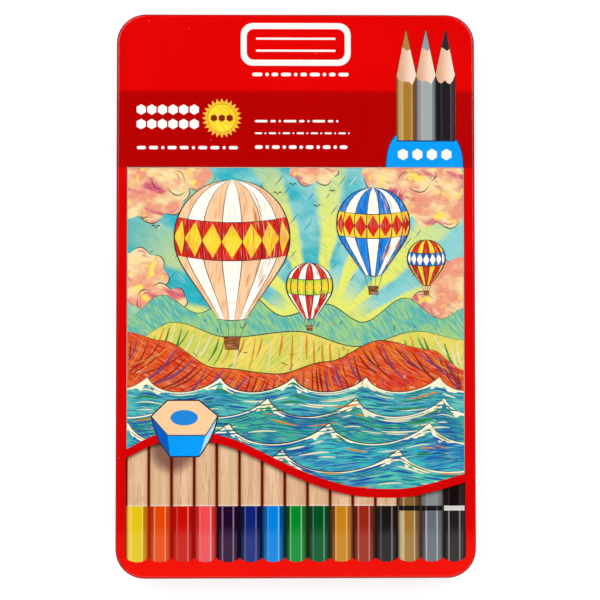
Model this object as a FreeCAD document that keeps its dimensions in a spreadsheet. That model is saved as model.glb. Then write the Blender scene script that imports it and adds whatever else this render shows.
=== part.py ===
import FreeCAD, Part

import os

import Sketcher

# Driving sizes of the tin and its pencils, in millimetres and degrees.
# X runs across the row of pencils, Y runs along them and Z points up.
# The origin is the middle of the underside, on the table.
SIZES = (
    ("lid_width", 118.4, "lid, outside, left to right"),
    ("lid_length", 186.0, "lid, outside, bottom edge to top edge of the picture"),
    ("tin_height", 12.0, "table to the top of the closed lid"),
    ("lid_corner", 9.6, "plan radius of the lid's corners"),
    ("lid_edge", 1.0, "rounding between the lid's top and its skirt"),
    ("lid_lift", 3.6, "table to the lowest point of the lid's skirt"),
    ("tinplate", 0.3, "thickness of the steel sheet"),
    ("wire_radius", 0.5, "half the thickness of the hinge wire"),
    ("hinge_play", 0.06, "running clearance between wire and curl, on the radius"),
    ("wall_gap", 0.4, "from the lid's curl to the base wall"),
    ("rim_gap", 0.25, "from the base's rim to the lid's underside"),
    ("rim_curl", 0.6, "outside radius of the curl along the base's rim"),
    ("base_edge", 1.6, "rounding between the base's wall and its floor"),
    ("hinge_offset", 46.0, "middle of the tin to the middle of each hinge"),
    ("knuckle_width", 8.0, "width of the base's hinge tab"),
    ("window_gap", 0.4, "beside and above a hinge tab in the lid's window"),
    ("wire_length", 26.0, "length of each hinge wire"),
    ("wire_bevel", 0.15, "bevel at the ends of the hinge wire"),
    ("tab_drop", 1.5, "hinge axis down to the foot of the hinge tab"),
    ("film", 0.4, "thickness of the plastic tray"),
    ("tray_gap", 0.3, "from the tray to the base wall and rim"),
    ("seat_gap", 0.1, "under the tray, and between a pencil and its groove"),
    ("pencil_count", 15, "pencils side by side"),
    ("tray_margin", 2.105, "outside of the tray to the first and last groove"),
    ("bench_depth", 2.53, "outside of the tray to the stop at a pencil's end"),
    ("groove_slope", 30.0, "slope of a groove's sides, the same as a hexagon's lower faces"),
    ("end_play", 0.75, "free length at each end of a pencil"),
    ("pencil_gap", 0.25, "between the flats of two neighbouring pencils"),
    ("core_diameter", 2.9, "coloured core"),
    ("glue_line", 0.03, "between the core and the wood"),
    ("point_angle", 12.5, "half angle of the sharpened point"),
    ("tip_radius", 0.35, "worn end of the point"),
    ("tail_bevel", 0.5, "bevel round the pencil's tail"),
    ("overrun", 1.0, "how far a cut runs past the surface it cuts"),
)

# The fifteen pencils, from the hinge side to the front
PENCILS = (
    "yellow",
    "orange",
    "red",
    "coral",
    "purple",
    "navy",
    "sky_blue",
    "green",
    "dark_green",
    "ochre",
    "brown",
    "black",
    "painted_gold",
    "painted_silver",
    "painted_black",
)

doc = FreeCAD.newDocument("colored_pencil_tin")
sheet = doc.addObject("Spreadsheet::Sheet", "sizes")
for row, (alias, size, meaning) in enumerate(SIZES, start=1):
    sheet.set(f"A{row}", alias)
    sheet.set(f"B{row}", str(size))
    sheet.set(f"C{row}", meaning)
    sheet.setAlias(f"B{row}", alias)
doc.recompute()

# Sizes that follow from the driving ones, as expressions on the sheet.
# The lid's lower edge is rolled inwards round the hinge wire, so one curl serves as hem and hinge.
CURL = "(sizes.wire_radius + sizes.hinge_play + sizes.tinplate)"
HINGE_X = f"(sizes.lid_width / 2 - {CURL})"
HINGE_Z = f"(sizes.lid_lift + {CURL})"
LID_UNDERSIDE = "(sizes.tin_height - sizes.tinplate)"

# The base stands inside the lid's curl.
BASE_INSET = f"(2 * {CURL} + sizes.wall_gap)"
BASE_WIDTH = f"(sizes.lid_width - 2 * {BASE_INSET})"
BASE_LENGTH = f"(sizes.lid_length - 2 * {BASE_INSET})"
BASE_CORNER = f"(sizes.lid_corner - {BASE_INSET})"
RIM_AXIS_Z = f"({LID_UNDERSIDE} - sizes.rim_gap - sizes.rim_curl)"

# The tray stands inside the base wall and reaches up to just under the rim's curl.
TRAY_INSET = "(sizes.tinplate + sizes.tray_gap)"
TRAY_WIDTH = f"({BASE_WIDTH} - 2 * {TRAY_INSET})"
TRAY_LENGTH = f"({BASE_LENGTH} - 2 * {TRAY_INSET})"
TRAY_CORNER = f"({BASE_CORNER} - {TRAY_INSET})"
TRAY_FOOT = "(sizes.tinplate + sizes.seat_gap)"
TRAY_TOP = f"({RIM_AXIS_Z} - sizes.rim_curl - sizes.tray_gap)"
STOP_Y = f"({TRAY_LENGTH} / 2 - sizes.bench_depth)"

# The grooves share the tray's width, and the pencils fill the grooves.
GROOVE_PITCH = f"(({TRAY_WIDTH} - 2 * sizes.tray_margin) / sizes.pencil_count)"
ROW_HALF = f"(sizes.pencil_count * {GROOVE_PITCH} / 2)"
PENCIL_FLATS = f"({GROOVE_PITCH} - sizes.pencil_gap)"
PENCIL_LENGTH = f"(2 * ({STOP_Y} - sizes.end_play))"
TIP_Y = f"({PENCIL_LENGTH} / 2)"
POINT_SLANT = "tan(sizes.point_angle * 1 deg)"

# A groove is a sheet folded to a V; its thickness measured upright is more than the film's own.
SLOPE = "(sizes.groove_slope * 1 deg)"
UPRIGHT_FILM = f"(sizes.film / cos({SLOPE}))"
RIDGE = f"({GROOVE_PITCH} / 2 * tan({SLOPE}))"
VALLEY_Z = f"({TRAY_FOOT} + {UPRIGHT_FILM})"
LEDGE_Z = f"({VALLEY_Z} + {RIDGE})"
LEDGE_UNDERSIDE = f"({LEDGE_Z} - {UPRIGHT_FILM})"

# A pencil stands on a corner of its hexagon, so its lower faces lie on the groove's sides.
HEX_CORNER = f"({PENCIL_FLATS} / sqrt(3))"
PENCIL_Z = f"({VALLEY_Z} + sizes.seat_gap / cos({SLOPE}) + {HEX_CORNER})"


def value(expression):
    """Return what an expression on the sheet is worth now."""
    worth = sheet.evalExpression(expression)
    return float(getattr(worth, "Value", worth))


def new_body(label):
    """Make an empty body that carries one sub-part's name."""
    body = doc.addObject("PartDesign::Body", label)
    body.Label = label
    return body


def origin_plane(body, role):
    """Return one of the body's own origin planes."""
    return [item for item in body.Origin.OriginFeatures if item.Role == role][0]


def sketch_on(body, name, role, offset=None):
    """Attach a new sketch to an origin plane, moved along the plane's normal by an expression."""
    sketch = body.newObject("Sketcher::SketchObject", name)
    sketch.AttachmentSupport = [(origin_plane(body, role), "")]
    sketch.MapMode = "FlatFace"
    if offset:
        sketch.setExpression("AttachmentOffset.Base.z", offset)
    return sketch


def bind(sketch, kind, where, expression):
    """Add a sketch dimension and tie it to the sheet."""
    constraint = Sketcher.Constraint(kind, *where, value(expression))
    number = sketch.addConstraint(constraint)
    sketch.setExpression(f"Constraints[{number}]", expression)


def bind_point(sketch, geometry, end, x, y):
    """Tie a point of a sketch to its two coordinates, each an expression."""
    for kind, axis, coordinate in (("DistanceX", -2, x), ("DistanceY", -1, y)):
        if value(coordinate) == 0:
            sketch.addConstraint(Sketcher.Constraint("PointOnObject", geometry, end, axis))
        elif value(coordinate) > 0:
            bind(sketch, kind, (-1, 1, geometry, end), coordinate)
        else:
            bind(sketch, kind, (geometry, end, -1, 1), f"-({coordinate})")


def draw_circle(sketch, radius, x="0", y="0"):
    """Draw a bound circle."""
    centre = FreeCAD.Vector(value(x), value(y), 0)
    circle = sketch.addGeometry(Part.Circle(centre, FreeCAD.Vector(0, 0, 1), value(radius)), False)
    bind(sketch, "Radius", (circle,), radius)
    bind_point(sketch, circle, 3, x, y)


def draw_polygon(sketch, points):
    """Draw a closed polygon whose every corner is bound to a pair of expressions."""
    places = [FreeCAD.Vector(value(x), value(y), 0) for x, y in points]
    first = sketch.GeometryCount
    count = len(points)
    for index, place in enumerate(places):
        sketch.addGeometry(Part.LineSegment(place, places[(index + 1) % count]), False)
    for index in range(count):
        following = first + (index + 1) % count
        sketch.addConstraint(Sketcher.Constraint("Coincident", first + index, 2, following, 1))
    for index, (x, y) in enumerate(points):
        bind_point(sketch, first + index, 1, x, y)


def draw_rounded_rectangle(sketch, width, length, corner):
    """Draw a rounded rectangle round the sketch's origin, bound by width, length and corner radius."""
    half_width = value(width) / 2
    half_length = value(length) / 2
    radius = value(corner)
    first = sketch.GeometryCount
    # Each side of the rectangle is followed by the quarter arc at its end, anticlockwise from the bottom.
    for turn, (side_x, side_y) in enumerate(((1, -1), (1, 1), (-1, 1), (-1, -1))):
        centre = FreeCAD.Vector(side_x * (half_width - radius), side_y * (half_length - radius), 0)
        along = FreeCAD.Rotation(FreeCAD.Vector(0, 0, 1), 90 * turn).multVec(FreeCAD.Vector(1, 0, 0))
        outward = FreeCAD.Rotation(FreeCAD.Vector(0, 0, 1), 90 * turn).multVec(FreeCAD.Vector(0, -1, 0))
        reach = (half_width if turn % 2 == 0 else half_length) - radius
        end = centre + outward * radius
        start = end - along * 2 * reach
        sketch.addGeometry(Part.LineSegment(start, end), False)
        circle = Part.Circle(centre, FreeCAD.Vector(0, 0, 1), radius)
        begin = FreeCAD.Units.Quantity(90 * (turn - 1), FreeCAD.Units.Angle).getValueAs("rad").Value
        finish = FreeCAD.Units.Quantity(90 * turn, FreeCAD.Units.Angle).getValueAs("rad").Value
        sketch.addGeometry(Part.ArcOfCircle(circle, begin, finish), False)
    for index in range(8):
        following = first + (index + 1) % 8
        sketch.addConstraint(Sketcher.Constraint("Tangent", first + index, 2, following, 1))
    for index, kind in ((0, "Horizontal"), (2, "Vertical"), (4, "Horizontal"), (6, "Vertical")):
        sketch.addConstraint(Sketcher.Constraint(kind, first + index))
    for index in (3, 5, 7):
        sketch.addConstraint(Sketcher.Constraint("Equal", first + 1, first + index))
    sketch.addConstraint(Sketcher.Constraint("Symmetric", first, 1, first + 4, 1, -1, 1))
    bind(sketch, "DistanceX", (first + 6, 1, first + 2, 2), width)
    bind(sketch, "DistanceY", (first, 2, first + 4, 1), length)
    bind(sketch, "Radius", (first + 1,), corner)


def draw_curl(sketch, x, y, outer, over_the_top):
    """Draw the section of a sheet rolled through three quarters of a circle.

    The roll starts at the circle's right-hand side, level with its centre. It goes round
    anticlockwise over the top, or clockwise under the bottom.
    """
    inner = f"({outer} - sizes.tinplate)"
    centre = FreeCAD.Vector(value(x), value(y), 0)
    quarter = FreeCAD.Units.Quantity(90, FreeCAD.Units.Angle).getValueAs("rad").Value
    begin, finish = (0, 3 * quarter) if over_the_top else (quarter, 4 * quarter)
    arcs = []
    for radius in (outer, inner):
        circle = Part.Circle(centre, FreeCAD.Vector(0, 0, 1), value(radius))
        arcs.append(sketch.addGeometry(Part.ArcOfCircle(circle, begin, finish), False))
    level_end, free_end = (1, 2) if over_the_top else (2, 1)
    caps = []
    for end in (level_end, free_end):
        start_point = sketch.getPoint(arcs[1], end)
        end_point = sketch.getPoint(arcs[0], end)
        cap = sketch.addGeometry(Part.LineSegment(start_point, end_point), False)
        sketch.addConstraint(Sketcher.Constraint("Coincident", cap, 1, arcs[1], end))
        sketch.addConstraint(Sketcher.Constraint("Coincident", cap, 2, arcs[0], end))
        caps.append(cap)
    sketch.addConstraint(Sketcher.Constraint("Coincident", arcs[0], 3, arcs[1], 3))
    sketch.addConstraint(Sketcher.Constraint("Horizontal", caps[0]))
    sketch.addConstraint(Sketcher.Constraint("Vertical", caps[1]))
    sketch.addConstraint(Sketcher.Constraint("PointOnObject", arcs[0], 3, caps[0]))
    sketch.addConstraint(Sketcher.Constraint("PointOnObject", arcs[0], 3, caps[1]))
    bind(sketch, "Radius", (arcs[0],), outer)
    bind(sketch, "Radius", (arcs[1],), inner)
    bind_point(sketch, arcs[0], 3, x, y)


def extrude(body, kind, name, sketch, length, side="One side", against_normal=False):
    """Pad or pocket a sketch by a bound length."""
    feature = body.newObject(f"PartDesign::{kind}", name)
    feature.Profile = sketch
    feature.SideType = side
    feature.Reversed = against_normal
    feature.setExpression("Length", length)
    doc.recompute()
    return feature


def revolve_cut(body, name, sketch):
    """Turn a sketch about its own vertical axis and cut it away."""
    groove = body.newObject("PartDesign::Groove", name)
    groove.Profile = sketch
    groove.ReferenceAxis = (sketch, ["V_Axis"])
    doc.recompute()
    return groove


def level_edges(feature, height):
    """Name the edges of a feature that lie wholly at one height."""
    names = []
    for number, edge in enumerate(feature.Shape.Edges, start=1):
        heights = [vertex.Z for vertex in edge.Vertexes] + [edge.CenterOfMass.z]
        if all(abs(z - height) < Part.Precision.confusion() * 100 for z in heights):
            names.append(f"Edge{number}")
    return names


def round_edges(body, name, feature, height, radius):
    """Fillet the edges that lie at one height, by a bound radius."""
    fillet = body.newObject("PartDesign::Fillet", name)
    fillet.Base = (feature, level_edges(feature, value(height)))
    fillet.setExpression("Radius", radius)
    doc.recompute()
    return fillet


def box_feature(body, kind, name, low, spans):
    """Add or cut a box, given its lowest corner and its three sizes as expressions."""
    box = body.newObject(f"PartDesign::{kind}Box", name)
    for side, span in zip(("Length", "Width", "Height"), spans):
        box.setExpression(side, span)
    for axis, place in zip("xyz", low):
        box.setExpression(f"Placement.Base.{axis}", place)
    doc.recompute()
    return box


def roll_edge(body, name, width, length, corner, height, outer, over_the_top):
    """Roll a sheet's edge inwards all the way round a rounded rectangle."""
    path = sketch_on(body, f"{name}_path", "XY_Plane", height)
    draw_rounded_rectangle(path, width, length, corner)
    section = sketch_on(body, f"{name}_section", "XZ_Plane")
    draw_curl(section, f"({width} / 2 - {outer})", height, outer, over_the_top)
    doc.recompute()
    roll = body.newObject("PartDesign::AdditivePipe", name)
    roll.Profile = section
    roll.Spine = (path, [f"Edge{number}" for number in range(1, len(path.Shape.Edges) + 1)])
    doc.recompute()
    return roll


def make_lid():
    """Draw the lid from one sheet: a flat top, a skirt and a rolled lower edge."""
    lid = new_body("lid_shell")
    outline = sketch_on(lid, "lid_outline", "XY_Plane", HINGE_Z)
    draw_rounded_rectangle(outline, "sizes.lid_width", "sizes.lid_length", "sizes.lid_corner")
    extrude(lid, "Pad", "lid_block", outline, f"sizes.tin_height - {HINGE_Z}")

    hollow = sketch_on(lid, "lid_hollow_outline", "XY_Plane", HINGE_Z)
    draw_rounded_rectangle(
        hollow,
        "(sizes.lid_width - 2 * sizes.tinplate)",
        "(sizes.lid_length - 2 * sizes.tinplate)",
        "(sizes.lid_corner - sizes.tinplate)",
    )
    pan = extrude(lid, "Pocket", "lid_hollow", hollow, f"{LID_UNDERSIDE} - {HINGE_Z}", against_normal=True)
    pan = round_edges(lid, "lid_inner_edge", pan, LID_UNDERSIDE, "sizes.lid_edge - sizes.tinplate")
    round_edges(lid, "lid_top_edge", pan, "sizes.tin_height", "sizes.lid_edge")
    roll_edge(
        lid,
        "lid_curl",
        "sizes.lid_width",
        "sizes.lid_length",
        "sizes.lid_corner",
        HINGE_Z,
        CURL,
        over_the_top=False,
    )

    # The base's hinge tabs reach the wire through two windows in the rear skirt.
    window_width = "(sizes.knuckle_width + 2 * sizes.window_gap)"
    for name, side in (("lower", "-"), ("upper", "")):
        box_feature(
            lid,
            "Subtractive",
            f"lid_window_{name}",
            (
                "-sizes.lid_width / 2 - sizes.overrun",
                f"{side}sizes.hinge_offset - {window_width} / 2",
                "sizes.lid_lift - sizes.overrun",
            ),
            (
                f"2 * {CURL} + 2 * sizes.overrun",
                window_width,
                f"2 * {CURL} + sizes.window_gap + sizes.overrun",
            ),
        )
    return lid


def make_base():
    """Draw the base from one sheet, roll its rim and lance two hinge tabs out of its rear wall."""
    base = new_body("base_shell")
    outline = sketch_on(base, "base_outline", "XY_Plane")
    draw_rounded_rectangle(outline, BASE_WIDTH, BASE_LENGTH, BASE_CORNER)
    extrude(base, "Pad", "base_block", outline, RIM_AXIS_Z)

    hollow = sketch_on(base, "base_hollow_outline", "XY_Plane", RIM_AXIS_Z)
    draw_rounded_rectangle(
        hollow,
        f"({BASE_WIDTH} - 2 * sizes.tinplate)",
        f"({BASE_LENGTH} - 2 * sizes.tinplate)",
        f"({BASE_CORNER} - sizes.tinplate)",
    )
    pan = extrude(base, "Pocket", "base_hollow", hollow, f"{RIM_AXIS_Z} - sizes.tinplate")
    pan = round_edges(base, "base_inner_edge", pan, "sizes.tinplate", "sizes.base_edge - sizes.tinplate")
    round_edges(base, "base_bottom_edge", pan, "0", "sizes.base_edge")
    roll_edge(base, "base_rim", BASE_WIDTH, BASE_LENGTH, BASE_CORNER, RIM_AXIS_Z, "sizes.rim_curl", over_the_top=True)

    # Each tab leaves the wall below the wire, rises beside it and is rolled round it.
    tab_inner = f"({CURL} - sizes.tinplate)"
    wall_x = f"(-{BASE_WIDTH} / 2)"
    leg_left = f"(-{HINGE_X} + {tab_inner})"
    leg_right = f"(-{HINGE_X} + {CURL})"
    foot_top = f"({HINGE_Z} - sizes.tab_drop)"
    foot_bottom = f"({foot_top} - sizes.tinplate)"
    wall_inside = f"({wall_x} + sizes.tinplate)"
    bent_tab = (
        (leg_left, HINGE_Z),
        (leg_left, foot_bottom),
        (wall_inside, foot_bottom),
        (wall_inside, foot_top),
        (leg_right, foot_top),
        (leg_right, HINGE_Z),
    )
    for name, side in (("lower", "-"), ("upper", "")):
        middle = f"{side}sizes.hinge_offset"
        # The opening that the tab was lanced out of
        lance_low = (
            f"{wall_x} - sizes.wall_gap / 2",
            f"{middle} - sizes.knuckle_width / 2",
            foot_top,
        )
        lance_spans = (
            "sizes.tinplate + sizes.wall_gap / 2 + sizes.tray_gap / 2",
            "sizes.knuckle_width",
            f"sizes.tab_drop + 2 * {CURL}",
        )
        box_feature(base, "Subtractive", f"base_window_{name}", lance_low, lance_spans)

        # The XZ plane faces the lower edge of the picture, so its offset runs the other way.
        leg = sketch_on(base, f"hinge_leg_section_{name}", "XZ_Plane", f"-({middle})")
        draw_polygon(leg, bent_tab)
        extrude(base, "Pad", f"hinge_leg_{name}", leg, "sizes.knuckle_width", side="Symmetric")
        roll = sketch_on(base, f"hinge_roll_section_{name}", "XZ_Plane", f"-({middle})")
        draw_curl(roll, f"-{HINGE_X}", HINGE_Z, CURL, over_the_top=True)
        extrude(base, "Pad", f"hinge_roll_{name}", roll, "sizes.knuckle_width", side="Symmetric")
    return base


def make_hinge_wires():
    """Cut the two straight wires that the lid's curl turns on."""
    wires = []
    for name, side in (("lower", "-"), ("upper", "")):
        wire = new_body(f"hinge_wire_{name}")
        section = sketch_on(wire, f"wire_section_{name}", "XZ_Plane")
        draw_circle(section, "sizes.wire_radius")
        rod = extrude(wire, "Pad", f"wire_rod_{name}", section, "sizes.wire_length", side="Symmetric")
        bevel = wire.newObject("PartDesign::Chamfer", f"wire_ends_{name}")
        rims = [number for number, edge in enumerate(rod.Shape.Edges, start=1) if edge.isClosed()]
        bevel.Base = (rod, [f"Edge{number}" for number in rims])
        bevel.setExpression("Size", "sizes.wire_bevel")
        wire.setExpression("Placement.Base.x", f"-{HINGE_X}")
        wire.setExpression("Placement.Base.y", f"{side}sizes.hinge_offset")
        wire.setExpression("Placement.Base.z", HINGE_Z)
        wires.append(wire)
    return wires


def make_tray():
    """Form the tray from thin plastic: a row of V grooves inside a low wall, with a stop at each end."""
    tray = new_body("tray_insert")
    groove = sketch_on(tray, "groove_section", "XZ_Plane")
    left = f"(-{ROW_HALF})"
    first = f"({left} + {GROOVE_PITCH} / 2)"
    right = f"({left} + {GROOVE_PITCH})"
    draw_polygon(
        groove,
        (
            (left, LEDGE_Z),
            (left, LEDGE_UNDERSIDE),
            (first, TRAY_FOOT),
            (right, LEDGE_UNDERSIDE),
            (right, LEDGE_Z),
            (first, VALLEY_Z),
        ),
    )
    fold = extrude(tray, "Pad", "groove", groove, f"2 * ({STOP_Y} + sizes.film)", side="Symmetric")
    row = tray.newObject("PartDesign::LinearPattern", "groove_row")
    row.Originals = [fold]
    row.Direction = (groove, ["H_Axis"])
    row.Mode = "Spacing"
    row.setExpression("Offset", GROOVE_PITCH)
    row.setExpression("Occurrences", "sizes.pencil_count")
    tray.Tip = row
    doc.recompute()

    # A level ledge beside the outer grooves, and a wall with a bench at each end of the pencils
    ledge = f"({TRAY_WIDTH} / 2 - sizes.film / 2 - {ROW_HALF})"
    for name, low_x in (("left", f"-{ROW_HALF} - {ledge}"), ("right", ROW_HALF)):
        box_feature(
            tray,
            "Additive",
            f"ledge_{name}",
            (low_x, f"-({STOP_Y} + sizes.film)", LEDGE_UNDERSIDE),
            (ledge, f"2 * ({STOP_Y} + sizes.film)", UPRIGHT_FILM),
        )
    inner_width = f"({TRAY_WIDTH} - sizes.film)"
    heel_half = f"({ROW_HALF} - {GROOVE_PITCH} / 2)"
    bench = "(sizes.bench_depth - sizes.film / 2)"
    for name, stop_y, bench_y in (
        ("lower", f"-({STOP_Y} + sizes.film)", f"-({STOP_Y} + {bench})"),
        ("upper", STOP_Y, STOP_Y),
    ):
        box_feature(
            tray,
            "Additive",
            f"stop_{name}",
            (f"-{inner_width} / 2", stop_y, LEDGE_UNDERSIDE),
            (inner_width, "sizes.film", f"{TRAY_TOP} - {LEDGE_UNDERSIDE}"),
        )
        # Below the ledge the stop closes the grooves' ends, clear of the base's rounded floor edge.
        box_feature(
            tray,
            "Additive",
            f"heel_{name}",
            (f"-{heel_half}", stop_y, TRAY_FOOT),
            (f"2 * {heel_half}", "sizes.film", RIDGE),
        )
        box_feature(
            tray,
            "Additive",
            f"bench_{name}",
            (f"-{inner_width} / 2", bench_y, f"{TRAY_TOP} - sizes.film"),
            (inner_width, bench, "sizes.film"),
        )

    # Trim the square corners to the tray's rounded outline, then stand the wall on that outline.
    trim = sketch_on(tray, "trim_outline", "XY_Plane")
    draw_rounded_rectangle(trim, TRAY_WIDTH, TRAY_LENGTH, TRAY_CORNER)
    draw_rounded_rectangle(
        trim,
        f"({TRAY_WIDTH} + 2 * {TRAY_CORNER})",
        f"({TRAY_LENGTH} + 2 * {TRAY_CORNER})",
        TRAY_CORNER,
    )
    extrude(tray, "Pocket", "trim", trim, "sizes.tin_height", against_normal=True)
    wall = sketch_on(tray, "wall_outline", "XY_Plane", LEDGE_UNDERSIDE)
    draw_rounded_rectangle(wall, TRAY_WIDTH, TRAY_LENGTH, TRAY_CORNER)
    draw_rounded_rectangle(
        wall,
        f"({TRAY_WIDTH} - 2 * sizes.film)",
        f"({TRAY_LENGTH} - 2 * sizes.film)",
        f"({TRAY_CORNER} - sizes.film)",
    )
    extrude(tray, "Pad", "wall", wall, f"{TRAY_TOP} - {LEDGE_UNDERSIDE}")
    return tray


def sharpen(body, name):
    """Turn the point at the pencil's upper end."""
    reach = f"({HEX_CORNER} + sizes.overrun)"
    section = sketch_on(body, f"{name}_point_section", "XY_Plane")
    draw_polygon(
        section,
        (
            (f"sizes.tip_radius - sizes.overrun * {POINT_SLANT}", f"{TIP_Y} + sizes.overrun"),
            (reach, f"{TIP_Y} - ({reach} - sizes.tip_radius) / {POINT_SLANT}"),
            (reach, f"{TIP_Y} + sizes.overrun"),
        ),
    )
    return revolve_cut(body, f"{name}_point", section)


def make_casing(color):
    """Cut one pencil's wooden casing: a hexagonal bar with a bore, a point and a bevelled tail."""
    casing = new_body(f"{color}_pencil_casing")
    half_flats = f"({PENCIL_FLATS} / 2)"
    section = sketch_on(casing, f"{color}_hexagon", "XZ_Plane")
    draw_polygon(
        section,
        (
            ("0", f"-{HEX_CORNER}"),
            (half_flats, f"-{HEX_CORNER} / 2"),
            (half_flats, f"{HEX_CORNER} / 2"),
            ("0", HEX_CORNER),
            (f"-{half_flats}", f"{HEX_CORNER} / 2"),
            (f"-{half_flats}", f"-{HEX_CORNER} / 2"),
        ),
    )
    extrude(casing, "Pad", f"{color}_bar", section, PENCIL_LENGTH, side="Symmetric")
    bore = sketch_on(casing, f"{color}_bore_section", "XZ_Plane")
    draw_circle(bore, "(sizes.core_diameter / 2 + sizes.glue_line)")
    bore_length = f"{PENCIL_LENGTH} + 2 * sizes.overrun"
    extrude(casing, "Pocket", f"{color}_bore", bore, bore_length, side="Symmetric")
    sharpen(casing, f"{color}_casing")

    tail_y = f"-{TIP_Y}"
    tail = sketch_on(casing, f"{color}_tail_section", "XY_Plane")
    draw_polygon(
        tail,
        (
            (f"{HEX_CORNER} - sizes.tail_bevel", tail_y),
            (f"{HEX_CORNER} - sizes.tail_bevel", f"{tail_y} - sizes.overrun"),
            (f"{HEX_CORNER} + sizes.overrun", f"{tail_y} - sizes.overrun"),
            (f"{HEX_CORNER} + sizes.overrun", f"{tail_y} + sizes.tail_bevel + sizes.overrun"),
        ),
    )
    revolve_cut(casing, f"{color}_tail", tail)
    return casing


def make_core(color):
    """Turn one pencil's coloured core, pointed along with its casing."""
    core = new_body(f"{color}_pencil_core")
    core_radius = "(sizes.core_diameter / 2)"
    profile = sketch_on(core, f"{color}_core_profile", "XY_Plane")
    draw_polygon(
        profile,
        (
            ("0", f"-{TIP_Y}"),
            (core_radius, f"-{TIP_Y}"),
            (core_radius, f"{TIP_Y} - ({core_radius} - sizes.tip_radius) / {POINT_SLANT}"),
            ("sizes.tip_radius", TIP_Y),
            ("0", TIP_Y),
        ),
    )
    rod = core.newObject("PartDesign::Revolution", f"{color}_rod")
    rod.Profile = profile
    rod.ReferenceAxis = (profile, ["V_Axis"])
    doc.recompute()
    return core


def make_pencils():
    """Make the pencils and lay each one along its groove, points towards the picture's top."""
    pieces = []
    for number, color in enumerate(PENCILS):
        for piece in (make_casing(color), make_core(color)):
            groove_x = f"({number} + 1 / 2) * {GROOVE_PITCH} - {ROW_HALF}"
            piece.setExpression("Placement.Base.x", groove_x)
            piece.setExpression("Placement.Base.z", PENCIL_Z)
            pieces.append(piece)
    return pieces


def check(pieces):
    """Stop if anything in the document failed, or if a cut or an addition did nothing."""
    for item in doc.Objects:
        if "Invalid" in item.State or "Error" in item.State:
            raise RuntimeError(f"{item.Label} failed: {item.State}")
        if item.TypeId.startswith("PartDesign::") and getattr(item, "BaseFeature", None):
            before = item.BaseFeature.Shape.Volume
            after = item.Shape.Volume
            adds = item.TypeId in ("PartDesign::Pad", "PartDesign::AdditivePipe", "PartDesign::AdditiveBox")
            adds = adds or item.TypeId == "PartDesign::LinearPattern"
            if adds != (after > before) and "inner_edge" not in item.Label:
                raise RuntimeError(f"{item.Label} changed the volume from {before:.3f} to {after:.3f}")
    for piece in pieces:
        if piece.Shape.isNull() or not piece.Shape.isValid() or len(piece.Shape.Solids) != 1:
            raise RuntimeError(f"{piece.Label} is not one valid solid")


pieces = [make_base(), make_lid(), *make_hinge_wires(), make_tray(), *make_pencils()]
doc.recompute()
check(pieces)

os.makedirs("parts", exist_ok=True)
for piece in pieces:
    piece.Shape.exportStep(os.path.join("parts", f"{piece.Label}.step"))
    print(f"{piece.Label}: {piece.Shape.Volume:.1f} mm3")
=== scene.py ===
# %% [markdown]
# A hinged tin box of colored pencils
#
# The real box is two pressings of tinplate, a base and a lid, with curled edges and a wire hinge
# down one long side. Fifteen pencils lie in a formed tray inside. The lid is printed: a picture
# panel, a row of pencils along the bottom edge and three more in the top corner.
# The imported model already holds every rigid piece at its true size, so this lesson gives those
# pieces their finishes and adds only what ink adds: thin printed shapes that lie on the lid.

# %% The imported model
import math
import random
import bmesh
import bpy
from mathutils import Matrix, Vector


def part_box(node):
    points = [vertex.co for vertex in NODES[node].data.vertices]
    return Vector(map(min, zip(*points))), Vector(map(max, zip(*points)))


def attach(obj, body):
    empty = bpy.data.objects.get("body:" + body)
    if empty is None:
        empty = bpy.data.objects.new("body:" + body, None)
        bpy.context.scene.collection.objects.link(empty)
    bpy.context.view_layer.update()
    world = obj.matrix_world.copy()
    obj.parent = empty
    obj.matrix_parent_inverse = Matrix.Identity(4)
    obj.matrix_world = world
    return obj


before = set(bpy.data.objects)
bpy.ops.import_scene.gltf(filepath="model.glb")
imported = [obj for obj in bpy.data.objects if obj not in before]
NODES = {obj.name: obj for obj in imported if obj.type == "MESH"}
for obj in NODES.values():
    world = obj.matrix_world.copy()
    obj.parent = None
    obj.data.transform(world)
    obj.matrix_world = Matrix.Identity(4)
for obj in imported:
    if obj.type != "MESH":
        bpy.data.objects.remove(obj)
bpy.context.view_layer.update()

MM = 0.001
print("nodes in the packed model:", len(NODES))

# %% [markdown]
# The camera comes first, because every other choice is judged through it. The box was
# photographed flat from above with a long lens, so its two short edges differ in width by only a
# few pixels. The place and the small tilts below were found by matching the lid's four corners.

# %% The camera above the lid
CAMERA_PLACE = (-0.004579, -0.015044, 0.478036)
CAMERA_TILT = (0.028663, -0.0127234, -0.0006474)
LENS_LENGTH = 85
FILM_WIDTH = 36

lens = bpy.data.cameras.new("camera")
lens.lens = LENS_LENGTH
lens.sensor_width = FILM_WIDTH
lens.clip_start = 0.05
lens.clip_end = 20
camera = bpy.data.objects.new("camera", lens)
camera.location = CAMERA_PLACE
camera.rotation_euler = CAMERA_TILT
bpy.context.scene.collection.objects.link(camera)
bpy.context.scene.camera = camera
print("the camera stands", CAMERA_PLACE[2], "m above the table")

# %% [markdown]
# Materials are nodes joined by links. Written out one by one they hide the idea, so two small
# classes let a recipe be read like a sum. An Output is what a node puts out: it can be added,
# multiplied or compared like a number, and each such step is one Math node.

# %% Colours and node outputs
WHITE = (1, 1, 1, 1)
BLACK = (0.0, 0.0, 0.0, 1)


def srgb(red, green, blue):
    """A colour as a screen shows it, 0 to 255, turned into the linear colour that nodes use."""
    def linear(part):
        part = part / 255
        return part / 12.92 if part <= 0.04045 else ((part + 0.055) / 1.055) ** 2.4
    return (linear(red), linear(green), linear(blue), 1.0)


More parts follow.
